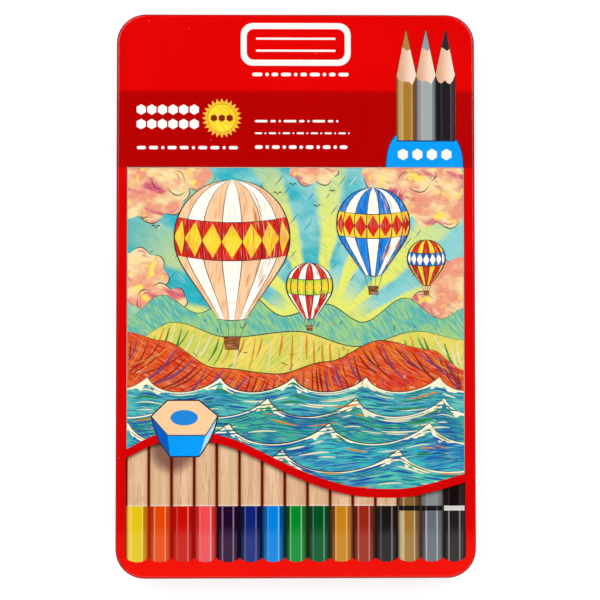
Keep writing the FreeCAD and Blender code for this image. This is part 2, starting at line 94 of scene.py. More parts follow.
class Output:
    def __init__(self, recipe, socket):
        self.recipe, self.socket = recipe, socket

    def math(self, operation, *others):
        return self.recipe.math(operation, self, *others)

    def __add__(self, other):
        return self.math("ADD", other)

    def __radd__(self, other):
        return self.recipe.math("ADD", other, self)

    def __sub__(self, other):
        return self.math("SUBTRACT", other)

    def __rsub__(self, other):
        return self.recipe.math("SUBTRACT", other, self)

    def __mul__(self, other):
        return self.math("MULTIPLY", other)

    def __truediv__(self, other):
        return self.math("DIVIDE", other)

    def __gt__(self, other):
        return self.math("GREATER_THAN", other)

    def __lt__(self, other):
        return self.math("LESS_THAN", other)

    def __abs__(self):
        return self.math("ABSOLUTE")

    def __or__(self, other):
        """Either of two masks."""
        return self.math("MAXIMUM", other)

    def at_least(self, other):
        return self.math("MAXIMUM", other)

    def at_most(self, other):
        return self.math("MINIMUM", other)

    def between(self, low, high):
        """0 below low and 1 above high with a soft step between, or the reverse if low is the larger."""
        step = self.recipe.add("MapRange")
        step.interpolation_type = "SMOOTHSTEP"
        return self.recipe.wire(step, {"Value": self, "From Min": low, "From Max": high}, "Result")


def hypotenuse(first, second):
    return (first * first + second * second).math("SQRT")


print("red as nodes use it:", [round(part, 3) for part in srgb(255, 0, 0)])

# %% [markdown]
# A Recipe is a node tree whose methods add nodes. Two kinds follow from it. A SharedRecipe is a
# node group, for what several materials have in common. A Finish is a material with one
# Principled BSDF, whose plain numbers sit on the shader itself.

# %% Recipes and finishes
class Recipe:
    def __init__(self, tree):
        self.tree = tree

    def add(self, kind):
        return self.tree.nodes.new("ShaderNode" + kind)

    def put(self, socket, value):
        """Links another node's output to a socket, or writes a plain value on it."""
        if isinstance(value, Output):
            self.tree.links.new(value.socket, socket)
        else:
            socket.default_value = value

    def wire(self, node, values, output=0):
        """Puts values on a node's inputs, by name or number, and returns one of its outputs."""
        for label, value in values.items():
            self.put(node.inputs[label], value)
        return Output(self, node.outputs[output])

    def outputs(self, node):
        return {socket.name: Output(self, socket) for socket in node.outputs}

    def math(self, operation, *values):
        step = self.add("Math")
        step.operation = operation
        return self.wire(step, dict(enumerate(values)))

    def blend(self, amount, first, second):
        """The first colour where the amount is 0, the second where it is 1."""
        mix = self.add("Mix")
        mix.data_type = "RGBA"
        return self.wire(mix, {0: amount, 6: first, 7: second}, 2)

    def split(self, vector):
        parts = self.add("SeparateXYZ")
        self.put(parts.inputs[0], vector)
        return [Output(self, socket) for socket in parts.outputs]

    def join(self, x, y, z):
        return self.wire(self.add("CombineXYZ"), {0: x, 1: y, 2: z})

    def grains(self, vector, size, turn=0.0, detail=2.0):
        """Noise whose grains have the given size in metres along x, y and z, turned about z."""
        mapping = self.add("Mapping")
        mapping.vector_type = "TEXTURE"
        turned = self.join(0.0, 0.0, turn)
        laid = self.wire(mapping, {"Vector": vector, "Rotation": turned, "Scale": size})
        return self.wire(self.add("TexNoise"), {"Vector": laid, "Scale": 1.0, "Detail": detail}, "Fac")

    def use(self, shared, **values):
        """Places a node group. An underscore in a keyword stands for the space in a socket's name."""
        step = self.add("Group")
        step.node_tree = shared
        for label, value in values.items():
            self.put(step.inputs[label.replace("_", " ")], value)
        return self.outputs(step)


class SharedRecipe(Recipe):
    def __init__(self, name, inputs, outputs):
        super().__init__(bpy.data.node_groups.new(name, "ShaderNodeTree"))
        for label, kind, value in inputs:
            socket = self.tree.interface.new_socket(label, in_out="INPUT", socket_type="NodeSocket" + kind)
            if value is not None:
                socket.default_value = value
        for label, kind in outputs:
            self.tree.interface.new_socket(label, in_out="OUTPUT", socket_type="NodeSocket" + kind)
        self.given = self.outputs(self.tree.nodes.new("NodeGroupInput"))
        self.results = self.tree.nodes.new("NodeGroupOutput").inputs

    def give(self, **values):
        """Finishes the recipe and returns its node group."""
        for label, value in values.items():
            self.put(self.results[label], value)
        return self.tree


class Finish(Recipe):
    def __init__(self, name, **constants):
        self.material = bpy.data.materials.new(name)
        self.material.use_nodes = True
        super().__init__(self.material.node_tree)
        self.shader = self.tree.nodes["Principled BSDF"]
        self.set(**constants)

    def set(self, **values):
        for label, value in values.items():
            self.put(self.shader.inputs[label.replace("_", " ")], value)

    def place(self):
        """Where a point lies on the object."""
        return self.outputs(self.add("TexCoord"))["Object"]

    def bump(self, height, depth):
        """Turns a height from 0 to 1 into relief of the given depth in metres."""
        relief = {"Height": height, "Distance": depth, "Strength": 1.0}
        self.set(Normal=self.wire(self.add("Bump"), relief))


def dress(node, material):
    """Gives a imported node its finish, in every material slot that it has."""
    mesh = NODES[node].data
    if not mesh.materials:
        mesh.materials.append(material)
    for index in range(len(mesh.materials)):
        mesh.materials[index] = material


print("kinds of recipe:", [kind.__name__ for kind in (SharedRecipe, Finish)])

# %% [markdown]
# The stage is a wide pale bowl, so that every camera angle meets a clean background and the tin's
# round edges have something plain to mirror. It could be a plane and a coloured world, but a bowl
# closes the horizon.

# %% The stage's shape
FLOOR_RADIUS = 1.6
BEND_RADIUS = 0.5
WALL_HEIGHT = 1.4

bowl = bmesh.new()
profile = [bowl.verts.new((0, 0, 0))]
for turn in range(7):
    angle = math.radians(15 * turn)
    out, up = BEND_RADIUS * math.sin(angle), BEND_RADIUS - BEND_RADIUS * math.cos(angle)
    profile.append(bowl.verts.new((FLOOR_RADIUS + out, 0, up)))
profile.append(bowl.verts.new((FLOOR_RADIUS + BEND_RADIUS, 0, WALL_HEIGHT)))
edges = [bowl.edges.new(pair) for pair in zip(profile, profile[1:])]
bmesh.ops.spin(bowl, geom=profile + edges, cent=(0, 0, 0), axis=(0, 0, 1), angle=math.tau, steps=64,
               use_merge=True)
bmesh.ops.remove_doubles(bowl, verts=bowl.verts, dist=1e-5)
bmesh.ops.recalc_face_normals(bowl, faces=bowl.faces)
bowl_mesh = bpy.data.meshes.new("pale_bowl")
bowl.to_mesh(bowl_mesh)
bowl.free()
for face in bowl_mesh.polygons:
    face.use_smooth = True
pale_bowl = bpy.data.objects.new("pale_bowl", bowl_mesh)
bpy.context.scene.collection.objects.link(pale_bowl)
print("stage radius", FLOOR_RADIUS, "m")

# %% [markdown]
# A camera ray sees the stage's own light on top of the diffuse part, which lifts the floor to
# white and still leaves the soft shadow beside the box. All other rays meet plain pale paper, so
# the white background doesn't light the box.

# %% The stage's paper
paper = Finish("pale_paper", Base_Color=(0.8, 0.8, 0.8, 1), Roughness=0.9)
ray = paper.outputs(paper.add("LightPath"))
across, along, _ = paper.split(paper.outputs(paper.add("NewGeometry"))["Position"])
on_wall = abs(across).at_least(abs(along)).between(0.4, 1.2) * ray["Is Camera Ray"]
floor_glow = (0.77, 0.77, 0.77, 1)
diffuse = paper.wire(paper.add("BsdfDiffuse"), {"Color": (0.34, 0.34, 0.34, 1)})
glow = paper.wire(paper.add("Emission"), {"Color": paper.blend(on_wall, floor_glow, WHITE)})
seen = paper.wire(paper.add("AddShader"), {0: diffuse, 1: glow})
looked_at = ray["Is Camera Ray"] | (ray["Is Glossy Ray"] | ray["Is Transmission Ray"])
plain = Output(paper, paper.shader.outputs[0])
choice = paper.wire(paper.add("MixShader"), {0: looked_at, 1: plain, 2: seen})
paper.put(paper.tree.nodes["Material Output"].inputs[0], choice)
bowl_mesh.materials.append(paper.material)
print("paper nodes:", len(paper.tree.nodes))

# %% [markdown]
# Two windows above and a lamp at the foot light the box. The world is grey at the sides and
# nearly black overhead, so the ceiling puts no veil over the lacquer's red.

# %% The room and its lamps
world = bpy.data.worlds.new("soft_room")
world.use_nodes = True
room = Recipe(world.node_tree)
_, _, steep = room.split(room.outputs(room.add("NewGeometry"))["Incoming"])
air = room.blend(abs(steep).between(0.5, 0.9), (0.2, 0.2, 0.2, 1), (0.03, 0.03, 0.03, 1))
room.put(room.tree.nodes["Background"].inputs["Color"], air)
bpy.context.scene.world = world
bpy.context.scene.view_settings.view_transform = "Standard"


def add_softbox(name, place, power, width, height):
    """A large lamp that looks at the box."""
    lamp = bpy.data.lights.new(name, "AREA")
    lamp.shape = "RECTANGLE"
    lamp.size = width
    lamp.size_y = height
    lamp.energy = power
    holder = bpy.data.objects.new(name, lamp)
    holder.location = place
    toward_box = -holder.location
    holder.rotation_euler = toward_box.to_track_quat("-Z", "Y").to_euler()
    bpy.context.scene.collection.objects.link(holder)


add_softbox("left_window", (-0.66, 0.52, 0.85), 9.0, 0.8, 0.8)
add_softbox("right_window", (0.70, 0.48, 0.85), 7.2, 0.7, 0.8)
add_softbox("foot_light", (0.0, -0.80, 0.90), 5.2, 1.4, 0.6)
print("lamps:", len(bpy.data.lights))

# %% [markdown]
# Both pressings start as sheet that is lacquered on one side only. Where the sheet curls round,
# the lacquered side stays outside and the bare tinplate shows within. The finish therefore needs
# to know which side of the sheet a point is on. It could be two materials on two sets of faces,
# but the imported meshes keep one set, so a recipe measures how far a point lies inside the box's
# rounded outline and sorts the two sides by that distance.

# %% Recipe: distance to a rounded outline
def past_corner(side, face, radius):
    """Distance from a round corner. side and face are measured from the centre of its rounding."""
    beyond = hypotenuse(side.at_least(0.0), face.at_least(0.0))
    within = side.at_least(face).at_most(0.0)
    return beyond + within - radius


def make_outline_recipe():
    recipe = SharedRecipe(
        "distance_to_outline",
        [("Position", "Vector", None), ("Half Width", "Float", 0.05), ("Half Length", "Float", 0.09),
         ("Corner", "Float", 0.01)],
        [("Distance", "Float")])
    x, y, _ = recipe.split(recipe.given["Position"])
    corner = recipe.given["Corner"]
    across = abs(x) - recipe.given["Half Width"] + corner
    along = abs(y) - recipe.given["Half Length"] + corner
    return recipe.give(Distance=past_corner(across, along, corner))


OUTLINE = make_outline_recipe()
print("recipe:", OUTLINE.name)

# %% [markdown]
# The bright red lacquer is glossy but not a mirror: it has a fine orange-peel skin, a few specks
# of dust caught under the varnish and softer gloss where hands have been. Bare tinplate is a pale
# warm metal with faint rolling marks. One recipe mixes the two by the sorting mask.

# %% Recipe: lacquered tinplate
BRIGHT_RED = srgb(226, 2, 1)
DEEP_RED = srgb(180, 1, 0)
# Painted sheen: the paler red that the lid's foot turns to.
FOOT_SHEEN_RED = srgb(243, 20, 10)
RIBBON_RED = srgb(211, 2, 4)
# Painted shade for the lid's rounded top edge.
EDGE_SHADE_RED = srgb(104, 4, 4)
LACQUER_ROUGHNESS = 0.13
GLOSS_LEVEL = 0.28
PEEL_DEPTH = 0.004 * MM


def make_tinplate_recipe():
    recipe = SharedRecipe(
        "lacquered_tinplate",
        [("Position", "Vector", None), ("Paint", "Color", BRIGHT_RED), ("Painted", "Float", 1.0)],
        [("Color", "Color"), ("Roughness", "Float"), ("Metallic", "Float"), ("Height", "Float")])
    place, painted = recipe.given["Position"], recipe.given["Painted"]
    cloud = recipe.grains(place, (0.03, 0.03, 0.03))
    rubbed = recipe.grains(place, (0.006, 0.012, 0.006), detail=4.0)
    speck = recipe.grains(place, (0.0012, 0.0012, 0.0012), detail=0.0)
    peel = recipe.grains(place, (0.0011, 0.0011, 0.0011), detail=1.0)
    rolled = recipe.grains(place, (0.0005, 0.05, 0.0005), detail=2.0)
    paint = recipe.blend(cloud.between(0.35, 0.7) * 0.06, recipe.given["Paint"], (0.05, 0.0, 0.0, 1))
    paint = recipe.blend(speck.between(0.88, 0.9) * 0.16, paint, (1.0, 0.55, 0.5, 1))
    metal = recipe.blend(rolled.between(0.25, 0.75), srgb(176, 175, 172), srgb(190, 189, 186))
    metal = recipe.blend(cloud.between(0.45, 0.75) * 0.3, metal, srgb(158, 151, 138))
    bare = 1.0 - painted
    gloss = LACQUER_ROUGHNESS + rubbed.between(0.4, 0.75) * 0.05
    sheen = 0.44 + rolled * 0.1
    return recipe.give(
        Color=recipe.blend(painted, metal, paint), Roughness=gloss * painted + sheen * bare,
        Metallic=bare, Height=peel * 0.6 + rolled * 0.25)


TINPLATE = make_tinplate_recipe()


def lacquer(finish, place, paint, painted):
    """Gives a finish the lacquer where painted is 1 and bare tinplate where it is 0."""
    made = finish.use(TINPLATE, Position=place, Paint=paint, Painted=painted)
    finish.set(Base_Color=made["Color"], Roughness=made["Roughness"], Metallic=made["Metallic"],
               Specular_IOR_Level=GLOSS_LEVEL)
    finish.bump(made["Height"], PEEL_DEPTH)
    return finish.material


print("recipe:", TINPLATE.name)

# %% [markdown]
# Lid and base are both pans with a curled edge, so one function tells their painted side from the
# bare one: the outer half of the sheet's thickness is painted, on the pan as on its curl. It
# measures along the pan's wall and face, and round the middle of the curl.

# %% The painted side of a pan
SHEET = 0.3 * MM
LACQUER_IOR = 1.46


def painted_side(distance, z, rise, edge, curl, curl_height, toward):
    """toward is 1 where the wall runs up from the curl to the pan's face and -1 where it runs down."""
    skin = past_corner(distance + edge, rise + edge, edge)
    ring = hypotenuse(distance + curl, z - curl_height)
    curl_end = curl_height + toward * curl
    on_skin = skin.between(-0.6 * SHEET, -0.4 * SHEET)
    on_curl = (ring.between(curl - 0.6 * SHEET, curl - 0.4 * SHEET)
               * z.between(curl_end + toward * 0.1 * MM, curl_end))
    return on_skin | on_curl


print("sheet", SHEET, "m thick")

# %% [markdown]
# The lid carries one printed feature that belongs to the lacquer itself: a deep red band right
# across the top, which wraps over the edges and down the skirt, so it is mixed in this finish.
# Its upper border is soft, as a printed shadow, and its lower border is the picture's top.
# A painted sheen makes the foot of the lid a shade lighter, and painted shade makes its left border a shade
# deeper. A thin painted shade darkens the rounded top edge all round.

# %% The lid's finish
LID_LOW, LID_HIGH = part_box("lid_shell")
LID_CORNER = 9.6 * MM
LID_EDGE = 1.0 * MM
LID_CURL = 0.86 * MM
LID_CURL_HEIGHT = 4.46 * MM
BAND_TOP = 67.4 * MM
BAND_BOTTOM = 42.0 * MM
BAND_SOFTNESS = 0.9 * MM
FOOT_SHEEN_TOP = -74.0 * MM
LEFT_SHADE_BORDER = -55.0 * MM


def finish_lid():
    finish = Finish("printed_lid_lacquer", IOR=LACQUER_IOR)
    place = finish.place()
    x, y, z = finish.split(place)
    distance = finish.use(OUTLINE, Position=place, Half_Width=LID_HIGH.x, Half_Length=LID_HIGH.y,
                          Corner=LID_CORNER)["Distance"]
    painted = painted_side(distance, z, z - LID_HIGH.z, LID_EDGE, LID_CURL, LID_CURL_HEIGHT, toward=1)
    band = y.between(BAND_TOP + BAND_SOFTNESS, BAND_TOP - BAND_SOFTNESS) * (y > BAND_BOTTOM)
    # Painted sheen: the foot of the lid turns a paler red.
    foot = y.between(FOOT_SHEEN_TOP, FOOT_SHEEN_TOP - 8 * MM)
    # Painted shade: the left border turns a shade deeper red.
    left = x.between(LEFT_SHADE_BORDER, LEFT_SHADE_BORDER - 1.5 * MM)
    # Painted shade: a thin dark line round the rounded top edge, stronger along the upper part of the sides.
    drawn = (distance.between(-0.75 * MM, -0.45 * MM)
             * z.between(LID_HIGH.z - 1.6 * MM, LID_HIGH.z - LID_EDGE))
    edge_shade_strength = y.between(-60 * MM, 40 * MM) * y.between(92 * MM, 85 * MM)
    paint = finish.blend(band, BRIGHT_RED, DEEP_RED)
    paint = finish.blend(foot, paint, FOOT_SHEEN_RED)
    paint = finish.blend(left * 0.18, paint, DEEP_RED)
    paint = finish.blend(drawn * (0.55 + edge_shade_strength * 0.4), paint, EDGE_SHADE_RED)
    return lacquer(finish, place, paint, painted)


dress("lid_shell", finish_lid())
print("lid from", tuple(round(v, 4) for v in LID_LOW), "to", tuple(round(v, 4) for v in LID_HIGH))

# %% [markdown]
# The base is one plain red. It is the same kind of pan turned over: its face is the floor, at a
# height of zero, and its curl runs round the upper rim.

# %% The base's finish
BASE_LOW, BASE_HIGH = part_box("base_shell")
BASE_HALF_WIDTH = 57.08 * MM
BASE_HALF_LENGTH = 90.88 * MM
BASE_CORNER = 7.48 * MM
BASE_EDGE = 1.6 * MM
BASE_CURL = 0.6 * MM
BASE_CURL_HEIGHT = 10.85 * MM


def finish_base():
    finish = Finish("lacquered_base", IOR=LACQUER_IOR)
    place = finish.place()
    _, _, z = finish.split(place)
    distance = finish.use(OUTLINE, Position=place, Half_Width=BASE_HALF_WIDTH,
                          Half_Length=BASE_HALF_LENGTH, Corner=BASE_CORNER)["Distance"]
    painted = painted_side(distance, z, z * -1.0, BASE_EDGE, BASE_CURL, BASE_CURL_HEIGHT, toward=-1)
    return lacquer(finish, place, BRIGHT_RED, painted)


dress("base_shell", finish_base())
print("base from", tuple(round(v, 4) for v in BASE_LOW), "to", tuple(round(v, 4) for v in BASE_HIGH))

# %% [markdown]
# The hinge wires are drawn steel: bright, with long scratches from the die along their length.

# %% The hinge wires' finish
def finish_wire():
    finish = Finish("drawn_steel", Metallic=1.0)
    place = finish.place()
    drawn = finish.grains(place, (0.0001, 0.008, 0.0001), detail=3.0)
    dull = finish.grains(place, (0.002, 0.004, 0.002))
    color = finish.blend(drawn.between(0.3, 0.7), srgb(150, 150, 152), srgb(206, 206, 208))
    finish.set(Base_Color=color, Roughness=0.2 + dull * 0.25)
    finish.bump(drawn, 0.004 * MM)
    return finish.material


WIRE_FINISH = finish_wire()
for name in ("hinge_wire_lower", "hinge_wire_upper"):
    dress(name, WIRE_FINISH)
print("wires dressed")

# %% [markdown]
# The tray is drawn down over a mould from thin off-white plastic film. It is glossy and a little
# uneven, because the film cools before it has quite settled, and thinner at the ridges, where it
# was stretched most and reads a touch greyer.

# %% The tray's finish
RIDGE_FOOT = 1.4 * MM
RIDGE_TOP = 2.9 * MM


def finish_tray():
    finish = Finish("formed_film", IOR=1.5)
    place = finish.place()
    _, _, z = finish.split(place)
    ripple = finish.grains(place, (0.004, 0.012, 0.004))
    haze = finish.grains(place, (0.02, 0.02, 0.02), detail=3.0)
    cream = finish.blend(haze.between(0.35, 0.7), srgb(228, 226, 218), srgb(238, 237, 231))
    stretched = z.between(RIDGE_FOOT, RIDGE_TOP) * 0.35
    finish.set(Base_Color=finish.blend(stretched, cream, srgb(206, 206, 202)), Roughness=0.2 + haze * 0.16)
    finish.bump(ripple, 0.03 * MM)
    return finish.material


dress("tray_insert", finish_tray())
print("tray dressed")

# %% [markdown]
# Twelve pencils are plain varnished cedar, dipped in their own colour at the tail. Three are
# painted all along and carry a ring. Wood needs three things at a pencil's scale: long pale and
# dark streaks along the grain, short dark pores and a slow change from one pencil to the next.
# A picture of wood would do that once; a recipe on object coordinates gives every pencil its own.

# %% Recipe: pencil wood
PALE_WOOD = srgb(238, 203, 163)
STREAK_WOOD = srgb(209, 163, 120)
PORE_WOOD = srgb(128, 82, 48)


def make_wood_recipe():
    recipe = SharedRecipe("pencil_wood", [("Position", "Vector", None)],
                          [("Color", "Color"), ("Height", "Float")])
    place = recipe.given["Position"]
    broad = recipe.grains(place, (0.0022, 0.06, 0.0022), detail=2.0)
    fine = recipe.grains(place, (0.00028, 0.012, 0.00028), detail=3.0)
    pores = recipe.grains(place, (0.00022, 0.0036, 0.00022), detail=1.0)
    body = recipe.blend(broad.between(0.32, 0.68), PALE_WOOD, STREAK_WOOD)
    body = recipe.blend(fine.between(0.4, 0.7) * 0.55, body, STREAK_WOOD)
    body = recipe.blend(pores.between(0.64, 0.74) * 0.75, body, PORE_WOOD)
    return recipe.give(Color=body, Height=fine)


WOOD = make_wood_recipe()
print("recipe:", WOOD.name)

# %% [markdown]
# Each casing gets one finish that knows the pencil's axis. The sharpened cone is where the
# distance from the axis equals the cone's own radius, so bare wood shows there and paint shows
# behind it, with the scalloped border that a sharpener leaves on a hexagonal barrel.

# %% Pencil finishes
PITCH = 7.25 * MM
ROW_HALF = 7.5 * PITCH
AXIS_HEIGHT = 5.02 * MM
TIP_Y = 87.0 * MM
TIP_RADIUS = 0.35 * MM
POINT_SLANT = math.tan(math.radians(12.5))
DIP_END = -68.6 * MM
DIP_WOBBLE = 0.5 * MM
RING_FRONT = -69.0 * MM
RING_BACK = -71.2 * MM
# Each pencil's name, its colour and its ring, which only the painted ones have.
PENCILS = (
    ("yellow", srgb(227, 195, 18), None),
    ("orange", srgb(229, 70, 4), None),
    ("red", srgb(200, 12, 2), None),
    ("coral", srgb(238, 74, 80), None),
    ("purple", srgb(38, 4, 42), None),
    ("navy", srgb(14, 34, 118), None),
    ("sky_blue", srgb(0, 128, 222), None),
    ("green", srgb(2, 135, 38), None),
    ("dark_green", srgb(0, 80, 32), None),
    ("ochre", srgb(200, 127, 18), None),
    ("brown", srgb(154, 36, 16), None),
    ("black", srgb(27, 21, 20), None),
    ("painted_gold", srgb(160, 118, 50), srgb(24, 20, 18)),
    ("painted_silver", srgb(103, 108, 116), srgb(24, 22, 24)),
    ("painted_black", srgb(34, 28, 28), srgb(214, 208, 204)),
)


def finish_casing(name, paint, ring, axis_x, tone):
    finish = Finish(name + "_casing", IOR=1.48, Coat_Roughness=0.12)
    place = finish.place()
    x, y, z = finish.split(place)
    side = x - axis_x
    cone = TIP_RADIUS + (TIP_Y - y) * POINT_SLANT
    sharpened = (cone - hypotenuse(side, z - AXIS_HEIGHT)).between(0.09 * MM, 0.05 * MM)
    wood = finish.use(WOOD, Position=place)
    varnish = finish.blend(tone, srgb(224, 176, 118), srgb(186, 108, 64))
    varnished = finish.blend(0.3, wood["Color"], varnish)
    # Painted shade: each casing darkens towards its side flats, where the pencils meet in the tray.
    shade_between_pencils = abs(side).between(2.9 * MM, 3.6 * MM)
    varnished = finish.blend(shade_between_pencils * 0.5, varnished, srgb(120, 70, 40))
    uneven = finish.grains(place, (0.01, 0.03, 0.01)).between(0.4, 0.7)
    coloured = finish.blend(uneven * 0.12, paint, BLACK)
    if ring is None:
        tail = y + finish.grains(place, (0.002, 0.002, 0.002)) * DIP_WOBBLE
        barrel = finish.blend(tail.between(DIP_END + 0.1 * MM, DIP_END), varnished, coloured)
    else:
        barrel = finish.blend((y > RING_BACK) * (y < RING_FRONT), coloured, ring)
    finish.set(Base_Color=finish.blend(sharpened, barrel, wood["Color"]),
               Roughness=0.26 + sharpened * 0.4, Coat_Weight=(1.0 - sharpened) * 0.5)
    finish.bump(wood["Height"], 0.01 * MM)
    return finish.material


def finish_core(name, color):
    finish = Finish(name + "_core", IOR=1.45)
    waxy = finish.grains(finish.place(), (0.0006, 0.0012, 0.0006), detail=3.0)
    bloom = finish.blend(waxy.between(0.35, 0.7) * 0.3, color, srgb(240, 236, 230))
    finish.set(Base_Color=bloom, Roughness=0.42 + waxy * 0.2)
    finish.bump(waxy, 0.02 * MM)
    return finish.material


for place_in_row, (name, paint, ring) in enumerate(PENCILS):
    axis_x = (place_in_row + 0.5) * PITCH - ROW_HALF
    tone = abs(math.sin(5.0 * place_in_row + 1.0))
    dress(name + "_pencil_casing", finish_casing(name, paint, ring, axis_x, tone))
    dress(name + "_pencil_core", finish_core(name, paint))
print("pencils dressed:", len(PENCILS))

# %% [markdown]
# Printing on tin is a stack of ink films a few hundredths of a millimetre thick. One image on the
# lid would be the short way, but no image is used here, so each shape is a thin closed plate that
# starts on the lid's face and ends at its own layer's height. A filled flat curve gives such a
# plate from a few points. A drawn line is a round curve pressed flat.

# %% Helpers for printing
LID_TOP = LID_HIGH.z
INK_STEP = 0.011 * MM


def add_spline(curve, loop, smooth, closed, widths=None):
    spline = curve.splines.new("BEZIER")
    spline.bezier_points.add(len(loop) - 1)
    for index, (knot, (x, y)) in enumerate(zip(spline.bezier_points, loop)):
        knot.co = (x * MM, y * MM, 0)
        knot.handle_left_type = knot.handle_right_type = "AUTO" if smooth else "VECTOR"
        if widths:
            knot.radius = widths[index]
    spline.use_cyclic_u = closed


def curve_mesh(curve, lift, squeeze=1.0):
    """The curve as a merged mesh, squeezed in height and lifted."""
    holder = bpy.data.objects.new("outline", curve)
    mesh = bpy.data.meshes.new_from_object(holder)
    bpy.data.objects.remove(holder)
    bpy.data.curves.remove(curve)
    shape = bmesh.new()
    shape.from_mesh(mesh)
    bpy.data.meshes.remove(mesh)
    bmesh.ops.remove_doubles(shape, verts=shape.verts, dist=0.0002 * MM)
    bmesh.ops.scale(shape, vec=(1, 1, squeeze), verts=shape.verts)
    bmesh.ops.translate(shape, vec=(0, 0, lift), verts=shape.verts)
    return shape


def new_piece(name, shapes, material, slot="printed_lid", body="lid"):
    """Joins the shapes into one printed piece that rides on the lid."""
    mesh = bpy.data.meshes.new(name)
    joined = bmesh.new()
    part = bpy.data.meshes.new("part")
    for shape in shapes:
        shape.to_mesh(part)
        joined.from_mesh(part)
        shape.free()
    bpy.data.meshes.remove(part)
    bmesh.ops.recalc_face_normals(joined, faces=joined.faces)
    joined.to_mesh(mesh)
    joined.free()
    mesh.materials.append(material)
    piece = bpy.data.objects.new(name, mesh)
    bpy.context.scene.collection.objects.link(piece)
    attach(piece, body)
    return piece


def plate(loops, layer):
    """A flat shape from the lid's face up to a layer. The first loop is its outline, the rest are holes."""
    height = layer * INK_STEP
    curve = bpy.data.curves.new("outline", "CURVE")
    curve.dimensions = "2D"
    curve.fill_mode = "BOTH"
    curve.resolution_u = 1
    curve.extrude = height / 2
    for loop in loops:
        add_spline(curve, loop, smooth=False, closed=True)
    return curve_mesh(curve, LID_TOP + height / 2)


def stroke(points, width, layer, taper=True, closed=False):
    """A drawn line: a round curve pressed flat, thin at its ends where the pen lifts."""
    curve = bpy.data.curves.new("line", "CURVE")
    curve.dimensions = "3D"
    curve.bevel_depth = width / 2 * MM
    curve.bevel_resolution = 0
    curve.use_fill_caps = True
    curve.resolution_u = 4
    last = len(points) - 1
    widths = [1.0] * len(points)
    if taper:
        widths = [0.25 + 0.75 * math.sin(math.pi * (index + 0.15) / (last + 0.3))
                  for index in range(last + 1)]
    add_spline(curve, points, smooth=True, closed=closed, widths=widths)
    return curve_mesh(curve, LID_TOP + layer * INK_STEP, squeeze=0.01)


def even_line(points, width, layer):
    return stroke(points, width, layer, taper=False)


def straight_lines(points, width, layer, closed=False):
    """One line along each side, so that the corners stay sharp."""
    ends = points[1:] + points[:1] if closed else points[1:]
    return [even_line([start, end], width, layer) for start, end in zip(points, ends)]


def rectangle(left, right, bottom, top):
    return [(left, bottom), (right, bottom), (right, top), (left, top)]


def round_points(x, y, radius, count, start=0.0, squash=1.0):
    """Points evenly round a circle, or an ellipse."""
    angles = [start + math.tau * step / count for step in range(count)]
    return [(x + radius * math.cos(angle), y + radius * squash * math.sin(angle)) for angle in angles]


print("one ink step is", INK_STEP, "m")

# %% [markdown]
# Printed inks under varnish share one gloss, so they share one set of constants. A flat ink still
# has a fine press grain. A crayon ink is two colours hatched over each other along a direction,
# with the paper showing through, which is how the picture panel was drawn.

# %% Recipes: flat ink and crayon
PAPER = srgb(250, 246, 236)
PAPER_SHOWING = 0.25
INK_GLOSS = {"Roughness": LACQUER_ROUGHNESS + 0.02, "IOR": LACQUER_IOR, "Specular_IOR_Level": GLOSS_LEVEL}


def make_ink_recipe():
    recipe = SharedRecipe("press_grain", [("Position", "Vector", None), ("Ink", "Color", BRIGHT_RED)],
                          [("Color", "Color")])
    dot = recipe.grains(recipe.given["Position"], (0.0003, 0.0003, 0.0003), detail=0.0)
    cloud = recipe.grains(recipe.given["Position"], (0.012, 0.012, 0.012))
    ink = recipe.blend(dot.between(0.4, 0.8) * 0.012, recipe.given["Ink"], PAPER)
    return recipe.give(Color=recipe.blend(cloud.between(0.4, 0.7) * 0.05, ink, BLACK))


def make_crayon_recipe():
    recipe = SharedRecipe(
        "crayon_hatching",
        [("Position", "Vector", None), ("Main", "Color", BRIGHT_RED), ("Second", "Color", DEEP_RED),
         ("Turn", "Float", 0.0), ("Length", "Float", 0.004), ("Cover", "Float", 0.5),
         ("Bare", "Float", PAPER_SHOWING)],
        [("Color", "Color")])
    given = recipe.given
    place, cover = given["Position"], given["Cover"]
    thick = recipe.grains(place, recipe.join(0.0007, given["Length"], 1.0), given["Turn"], detail=3.0)
    thin = recipe.grains(place, recipe.join(0.00022, given["Length"], 1.0), given["Turn"], detail=1.0)
    patch = recipe.grains(place, (0.011, 0.011, 0.011), detail=2.0)
    drift = (thick * 0.6 + patch * 0.4).between(cover - 0.1, cover + 0.1)
    two = recipe.blend(drift, given["Main"], given["Second"])
    return recipe.give(Color=recipe.blend(thin.between(0.56, 0.7) * given["Bare"], two, PAPER))


PRESS_GRAIN = make_ink_recipe()
CRAYON = make_crayon_recipe()


def flat_ink(name, color):
    finish = Finish(name, **INK_GLOSS)
    made = finish.use(PRESS_GRAIN, Position=finish.place(), Ink=color)
    finish.set(Base_Color=made["Color"])
    return finish.material


def hatch(finish, place, main, second, turn, length, cover, bare):
    """Hatches a finish in two colours. The turn is in degrees and the length in millimetres."""
    made = finish.use(CRAYON, Position=place, Main=main, Second=second, Turn=math.radians(turn),
                      Length=length * MM, Cover=cover, Bare=bare)
    finish.set(Base_Color=made["Color"])
    return finish.material


def crayon_ink(name, main, second, turn=0.0, length=4.0, cover=0.5):
    finish = Finish(name, **INK_GLOSS)
    return hatch(finish, finish.place(), main, second, turn, length, cover, PAPER_SHOWING)


print("recipes:", PRESS_GRAIN.name, CRAYON.name)

# %% [markdown]
# The row of printed pencils fills the lower edge. Its upper border is a long wave that the
# picture shares, so the wave comes first: a few points and a smooth curve through them. Reading
# the curve's height at any place lets each printed barrel end exactly under the wave.

